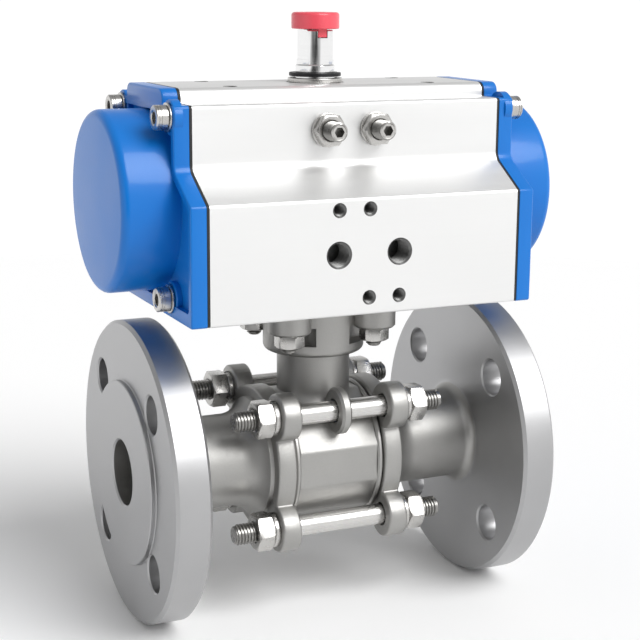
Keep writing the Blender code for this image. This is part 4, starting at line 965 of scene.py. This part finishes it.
def actuator_body():
    """Extrusion with the cylinder, the pinion's bores and its threaded holes."""
    body = sawn("actuator_extrusion", body_outline(), -BODY_HALF, BODY_HALF)
    past = BODY_HALF + TINY
    drill(body, turned("cylinder", [(0, -past), (CYLINDER_R, -past), (CYLINDER_R, past), (0, past)],
                       "X", (0, 0, CYLINDER_Z), 96))
    seat_r = washer_high.x + 2 * GAP
    drill(body, turned("spot_face", [(0, BODY_TOP_Z - GAP), (seat_r, BODY_TOP_Z - GAP), (seat_r, BODY_TOP_Z + TINY),
                                     (0, BODY_TOP_Z + TINY)], "Z", (0, 0, 0), 80))
    shaft_way = [(0, BODY_BOTTOM_Z - TINY), (0.0126, BODY_BOTTOM_Z - TINY), (0.0126, CYLINDER_Z), (0.0168, CYLINDER_Z),
                 (0.0168, 0.191), (0.00965, 0.191), (0.00965, BODY_TOP_Z + TINY), (0, BODY_TOP_Z + TINY)]
    drill(body, turned("shaft_way", shaft_way, "Z", (0, 0, 0), 64))
    front = -BODY_FRONT
    coils = []
    holes = []
    for side in (-1, 1):
        port = (side * PORT_X, 0, PORT_Z)
        coils.append(tapped_hole(body, PORT_R, 0.0009, front, front + PORT_DEPTH, "Y", port))
        holes.append(((port[0], front, PORT_Z), AXES["Y"], PORT_R))
        for x in (0, side * PORT_X):
            hole = (x, 0, PORT_Z - side * PORT_ROWS)
            coils.append(tapped_hole(body, TAP_R, 0.0008, front, front + TAP_DEPTH, "Y", hole, 24))
            holes.append(((hole[0], front, hole[2]), AXES["Y"], TAP_R))
        stop = (side * STOP_X, 0, STOP_Z)
        drill(body, turned("stop_drill", [(0, -0.0105), (STOP_R + GAP, -0.0105), (STOP_R + GAP, -UPPER_HALF - TINY),
                                          (0, -UPPER_HALF - TINY)], "Y", stop, 32))
    for x, y in QUADRANTS:
        hole = (x * TOP_HOLES[0], y * TOP_HOLES[1], 0)
        coils.append(tapped_hole(body, TAP_R, 0.0008, BODY_TOP_Z, BODY_TOP_Z - TAP_DEPTH, "Z", hole, 24))
        holes.append(((hole[0], hole[1], BODY_TOP_Z), -AXES["Z"], TAP_R))
        stud = [(0, BODY_BOTTOM_Z - TINY), (STUD_R + GAP, BODY_BOTTOM_Z - TINY), (STUD_R + GAP, stud_high.z + TINY),
                (0, stud_high.z + TINY)]
        drill(body, turned("stud_way", stud, "Z", (x * PAD_XY, y * PAD_XY, 0), 24))
    gather(body, *coils)
    # faces down the holes take the painted hole shade
    faced(body, [ANODISED, HOLE_SHADE], lambda middle, normal: int(any(down_hole(middle, *hole) for hole in holes)))
    fit(body, "housing", "body_aluminium", ANODISED, "actuator_body", angle=24)


# ---- End caps ---------------------------------------------------------------------------------------
def end_caps():
    """Cast cap with a raised rim, a recessed field, screw bosses and the cylinder's dome."""
    plate = sawn("right_cap_casting", body_outline(), CAP_INNER, CAP_FACE)
    round_over(plate, 0.0006, 3, lambda middle, along: middle.x > CAP_FACE - TINY / 10)
    drill(plate, sawn("field", field_outline(), CAP_FACE - CAP_FIELD, CAP_FACE + TINY))
    dome = turned("dome", [
        (0, CAP_INNER + GAP),
        (DOME_R, CAP_INNER + GAP),
        *[(r, x) for x, r in arc((DOME_OUT - DOME_EDGE, DOME_R - DOME_EDGE), DOME_EDGE, 90, 0, 8)],
        (0, DOME_OUT),
    ], "X", (0, 0, CYLINDER_Z), 96)
    weld(plate, dome)
    places = [(0, y * CAP_SCREW_Y, CYLINDER_Z + z * CAP_SCREW_Z) for y, z in QUADRANTS]
    for place in places:
        boss = [(0, CAP_FACE - CAP_FIELD - TINY), (CAP_BOSS_R, CAP_FACE - CAP_FIELD - TINY),
                (CAP_BOSS_R, CAP_FACE - 2 * GAP), (CAP_BOSS_R - GAP, CAP_FACE - GAP), (0, CAP_FACE - GAP)]
        weld(plate, turned("boss", boss, "X", place, 40))
    wall = 0.0042
    chamber = [(0, CAP_INNER - TINY), (DOME_R - wall, CAP_INNER - TINY), (DOME_R - wall, DOME_OUT - wall - TINY),
               (DOME_R - wall - TINY, DOME_OUT - wall), (0, DOME_OUT - wall)]
    drill(plate, turned("chamber", chamber, "X", (0, 0, CYLINDER_Z), 64))
    for place in places:
        shank = [(0, CAP_INNER - TINY), (0.0028, CAP_INNER - TINY), (0.0028, CAP_FACE + TINY), (0, CAP_FACE + TINY)]
        drill(plate, turned("screw_drill", shank, "X", place, 24))
    twin = copy_of(plate, "left_cap_casting", turn=math.pi)
    fit(plate, "housing", "cap_paint", COATING, "right_end_cap", angle=30)
    fit(twin, "housing", "cap_paint", COATING, "left_end_cap", angle=30)
    sheet = sawn("right_gasket_sheet", body_outline(GAP / 3), gasket_low.x, gasket_high.x)
    drill(sheet, turned("opening", [(0, 0), (CYLINDER_R, 0), (CYLINDER_R, FACE_X), (0, FACE_X)],
                        "X", (0, 0, CYLINDER_Z), 96))
    twin = copy_of(sheet, "left_gasket_sheet", turn=math.pi)
    fit(sheet, "housing", "rubber", RUBBER, "right_cap_gasket")
    fit(twin, "housing", "rubber", RUBBER, "left_cap_gasket")


def cap_screws():
    """Socket head screws on plain washers, four in each cap."""
    head_r = 0.0044
    seat = CAP_FACE + GAP / 3
    washer = 0.0007
    top = screw_high.x
    groove = 0.00022
    profile = [
        (0, screw_low.x),
        (0.0025, screw_low.x),
        (0.0025, seat + washer),
        (head_r - 0.0002, seat + washer + GAP / 3),
        (head_r, seat + washer + GAP),
        (head_r, top - 0.0020),
        (head_r - groove, top - 0.0019),
        (head_r - groove, top - 0.0016),
        (head_r, top - 0.0015),
        (head_r, top - 0.0011),
        (head_r - groove, top - 0.0010),
        (head_r - groove, top - 0.0008),
        (head_r, top - 0.0007),
        (head_r, top - 0.0004),
        (head_r - 0.0004, top),
        (0, top),
    ]
    screw = turned("socket_screw", profile, "X", (0, 0, 0), 48)
    drill(screw, sawn("key_way", hexagon(0.0042), top - 0.0026, top + TINY))
    drill(screw, turned("key_mouth", [(0, top - 0.0003), (0.00245, top - 0.0003), (0.0029, top + TINY / 8),
                                      (0.0029, top + TINY), (0, top + TINY)], "X", (0, 0, 0), 36))
    section = cornered([(0.0027, seat, 0), (0.0052, seat, 0.0002), (0.0052, seat + washer, 0.0002),
                        (0.0027, seat + washer, 0)], 2)
    plain = turned("plain_washer", section, "X", (0, 0, 0), 48, ring=True)
    for index, (y, z) in enumerate(QUADRANTS, start=1):
        shift = (0, y * CAP_SCREW_Y, CYLINDER_Z + z * CAP_SCREW_Z)
        for side, turn in (("right", 0.0), ("left", math.pi)):
            node = f"{side}_cap_screw_{index}"
            fit(copy_of(screw, f"{side}_socket_screw_{index}", shift, turn), "housing", "steel", FASTENER, node)
            fit(copy_of(plain, f"{side}_plain_washer_{index}", shift, turn), "housing", "steel", FASTENER)
    for pattern in (screw, plain):
        bpy.data.objects.remove(pattern)


# ---- Travel stops, shaft and indicator --------------------------------------------------------------
def travel_stops():
    """Two threaded stop screws with their lock nuts and sealing washers."""
    depth = 0.0005
    root = STOP_R - depth
    face = -UPPER_HALF
    seal = 0.0012
    for side, name in ((1, "closing"), (-1, "opening")):
        centre = (side * STOP_X, 0, STOP_Z)
        profile = [
            (0, STOP_END_Y),
            (root - depth, STOP_END_Y),
            (root, STOP_END_Y + depth),
            (root, STOP_TIP_Y - 0.002),
            (0.003, STOP_TIP_Y - 0.0014),
            (0.003, STOP_TIP_Y),
            (0, STOP_TIP_Y),
        ]
        screw = turned(f"{name}_stop_set_screw", profile, "Y", centre, 40)
        drill(screw, sawn("key_way", hexagon(0.0034, (centre[0], STOP_Z)), STOP_END_Y - TINY, STOP_END_Y + 0.0035, "Y"))
        coils = thread("coils", STOP_R, depth, 0.001, STOP_END_Y + depth, face, "Y", centre)
        gather(screw, coils)
        # the threaded length takes the painted thread shade
        faced(screw, [FASTENER, THREAD_SHADE], lambda middle, normal: int(middle.y > STOP_END_Y + depth))
        fit(screw, "housing", "steel", FASTENER, f"{name}_stop_screw")
        nut_in = face - GAP - seal
        nut = hex_nut(f"{name}_stop_lock_nut", STOP_AF, nut_in, face - GAP - 0.0042, STOP_R + GAP / 3, "Y", centre)
        fit(nut, "housing", "steel", FASTENER, f"{name}_stop_nut")
        section = cornered([(STOP_R + GAP, face - GAP, 0.0002), (0.00615, face - GAP, 0.0003),
                            (0.00615, nut_in + GAP / 3, 0.0003), (STOP_R + GAP, nut_in + GAP / 3, 0.0002)], 3)
        fit(turned(f"{name}_stop_seal", section, "Y", centre, 56, ring=True), "housing", "steel", FASTENER)


def gear_outline():
    """Sixteen involute teeth, one of them along +Y."""
    teeth = 16
    pitch_r = 0.012
    pressure = math.radians(20)
    base_r = pitch_r * math.cos(pressure)
    tip_r = pitch_r + 0.001275
    root_r = pitch_r - 0.00165
    half_tooth = math.pi / 2 / teeth - 0.000125 / pitch_r + math.tan(pressure) - pressure
    flank = [(root_r, half_tooth)]
    for step in range(7):
        radius = base_r + (tip_r - base_r) * step / 6
        angle = math.acos(min(base_r / radius, 1))
        flank.append((radius, half_tooth - (math.tan(angle) - angle)))
    outline = []
    for tooth in range(teeth):
        middle = math.pi / 2 + 2 * math.pi * tooth / teeth
        sides = [(radius, middle - half) for radius, half in flank]
        sides += [(radius, middle + half) for radius, half in reversed(flank)]
        outline += [(radius * math.cos(a), radius * math.sin(a)) for radius, a in sides]
    return outline


def shaft_end():
    """Pinion with its journals, teeth and flats, and the rings that hold it."""
    top = pinion_high.z
    edge = 0.0005
    groove = COLLAR_R - 0.0006
    gear_low = CYLINDER_Z - 0.0105
    gear_high = CYLINDER_Z + 0.0105
    profile = [
        (0, pinion_low.z),
        (0.0104, pinion_low.z),
        (0.0104, gear_low - TINY),
        (0.01005, gear_low),
        (0.01005, gear_high),
        (0.008, gear_high + TINY),
        (0.008, 0.1904),
        (COLLAR_R, 0.1904),
        (COLLAR_R, clip_low.z - GAP),
        (groove, clip_low.z - GAP),
        (groove, clip_high.z + GAP),
        (COLLAR_R, clip_high.z + GAP),
        (COLLAR_R, COLLAR_TOP_Z - edge),
        (COLLAR_R - edge, COLLAR_TOP_Z),
        (SHAFT_R, COLLAR_TOP_Z),
        (SHAFT_R, top - edge),
        (SHAFT_R - edge, top),
        (0, top),
    ]
    shaft = turned("drive_shaft", profile, "Z", (0, 0, 0), 96)
    weld(shaft, sawn("teeth", gear_outline(), gear_low, gear_high, "Z"))
    half = 0.0058
    drill(shaft, slab("square", (-half, -half, pinion_low.z - TINY), (half, half, 0.139)))
    for side in (-1, 1):
        low, high = sorted((side * FLAT_X, side * 0.02))
        drill(shaft, slab("flat", (low, -0.02, FLAT_Z), (high, 0.02, top + TINY)))
    drill(shaft, slab("slot", (-0.002, -0.02, top - 0.003), (0.002, 0.02, top + TINY)))
    drill(shaft, turned("screw_hole", [(0, top - 0.009), (0.0018, top - 0.009), (0.0018, top), (0, top)],
                        "Z", (0, 0, 0), 24))
    soften(shaft, 0.00015, 2, 40)
    fit(shaft, "pinion", "polished_steel", SHAFT, "pinion")

    low, high = washer_low.z, washer_high.z
    section = cornered([(COLLAR_R + GAP, low, 0), (washer_high.x, low, 0.0003), (washer_high.x, high, 0.0003),
                        (COLLAR_R + GAP, high, 0)], 3)
    fit(turned("thrust_washer", section, "Z", (0, 0, 0), 80, ring=True), "housing", "steel", FASTENER, "pinion_washer")
    low, high = clip_low.z, clip_high.z
    section = cornered([(groove + GAP, low, 0.0001), (0.0098, low, 0.0002), (0.0098, high, 0.0002),
                        (groove + GAP, high, 0.0001)], 2)
    clip = turned("snap_ring", section, "Z", (0, 0, 0), 80, ring=True)
    drill(clip, slab("opening", (0, -0.0011, low - TINY), (0.011, 0.0011, high + TINY)))
    fit(clip, "pinion", "black_steel", SPRING, "pinion_circlip")


def indicator():
    """Red cap with a tongue in the shaft's slot, and its countersunk screw."""
    low = pinion_high.z + GAP
    high = indicator_high.z
    radius = indicator_high.x
    edge = 0.0012
    cap = turned("red_cap", [
        (0, low),
        (radius - GAP, low),
        (radius, low + GAP),
        *arc((radius - edge, high - edge), edge, 0, 90, 6),
        (0, high),
    ], "Z", (0, 0, 0), 96)
    half = 0.0017
    weld(cap, slab("tongue", (-half, -0.0067, indicator_low.z), (half, 0.0067, low + TINY)))
    way = [(0, indicator_low.z - TINY), (0.0023, indicator_low.z - TINY), (0.0023, high - 0.0027), (0.0036, high - 0.0027),
           (0.0036, high - GAP), (0.0039, high), (0.0039, high + TINY), (0, high + TINY)]
    drill(cap, turned("screw_way", way, "Z", (0, 0, 0), 48))
    fit(cap, "pinion", "indicator_red", RED, "position_indicator")
    head = 0.0033
    screw = turned("cap_screw_top", [(0, high - 0.0144), (0.0014, high - 0.0144), (0.0014, high - 0.0024),
                                     (head, high - 0.0024), (head, high - 2 * GAP), (head - GAP, high - GAP),
                                     (0, high - GAP)], "Z", (0, 0, 0), 48)
    drill(screw, sawn("key_way", hexagon(0.0025), high - 0.0018, high + TINY, "Z"))
    fit(screw, "pinion", "steel", FASTENER, "indicator_screw")


# ---- Frame's own pieces -----------------------------------------------------------------------------
def finish_frame():
    """Give every part of the frame that still shows its finish."""
    slots = {part["node"]: part["material_slot"] for part in frame["record"]["subparts"]}
    for name, node in frame["nodes"].items():
        node.data.materials.clear()
        node.data.materials.append(SLOT_FINISH[slots[name]])


# ---- Studio -----------------------------------------------------------------------------------------
def daylight(name, towards, strength, spread):
    """Wide soft light from far off, the same over the whole floor."""
    bpy.ops.object.light_add(type="SUN", location=(0, 0, 2))
    lamp = bpy.context.object
    lamp.name = name
    lamp.data.energy = strength
    lamp.data.angle = math.radians(spread)
    lamp.rotation_euler = Vector(towards).to_track_quat("Z", "Y").to_euler()


def surround():
    """White surround. What the metal mirrors of it is greyer overhead and dark on one side of the front."""
    world = bpy.data.worlds.new("surround")
    bpy.context.scene.world = world
    world.use_nodes = True
    sky = Shading(world.node_tree)
    direction = sky.node("ShaderNodeTexCoord", {}, {}, "Generated")
    height = sky.node("ShaderNodeSeparateXYZ", {}, {0: direction}, "Z")
    dark_side = {0: direction, 1: (-0.41, -0.89, 0.0)}
    nearness = sky.node("ShaderNodeVectorMath", {"operation": "DOT_PRODUCT"}, dark_side, "Value")
    mirrored = sky.ramp(height, 0.05, 0.6, 1.05, 0.4) * sky.ramp(nearness, 0.8, 0.97, 1.0, 0.06)
    seen = sky.node("ShaderNodeLightPath", {}, {}, "Is Camera Ray")
    background = world.node_tree.nodes["Background"].inputs
    background["Color"].default_value = (1, 1, 1, 1)
    sky.plug(background["Strength"], mirrored.maths("MAXIMUM", mirrored, seen))


def studio():
    """Pale round table, a wide soft window light and the surround."""
    bpy.ops.mesh.primitive_circle_add(vertices=128, radius=0.8, fill_type="NGON", location=(0, 0, 0))
    floor = bpy.context.object
    floor.name = "studio_floor"
    paint = Finish("floor_paint", metallic=0.0)
    paint.surface(base_color=(0.96, 0.96, 0.96), roughness=0.9)
    floor.data.materials.append(paint.material)
    daylight("window", (0.45, -0.85, 0.95), 2.6, 40)
    surround()


def camera():
    """Camera to the left of the front and a little above, at eye distance."""
    lens = bpy.data.cameras.new("studio_camera")
    lens.lens = 85.09
    lens.sensor_width = 36
    lens.clip_start = 0.01
    eye = bpy.data.objects.new("studio_camera", lens)
    bpy.context.scene.collection.objects.link(eye)
    turn, tip, roll = math.radians(24.441), math.radians(12.418), math.radians(0.458)
    forward = Vector((math.sin(turn) * math.cos(tip), math.cos(turn) * math.cos(tip), -math.sin(tip)))
    across = Vector((math.cos(turn), -math.sin(turn), 0))
    upward = across.cross(forward)
    right = across * math.cos(roll) + upward * math.sin(roll)
    up = upward * math.cos(roll) - across * math.sin(roll)
    place = Matrix((right, up, -forward)).transposed().to_4x4()
    place.translation = Vector((-0.236119, -0.525935, 0.236758))
    eye.matrix_world = place
    bpy.context.scene.camera = eye
    bpy.context.scene.view_settings.view_transform = "Standard"


camera()
end_pieces()
centre_body()
tie_rods()
pad_studs()
actuator_body()
end_caps()
cap_screws()
travel_stops()
shaft_end()
indicator()
finish_frame()
studio()
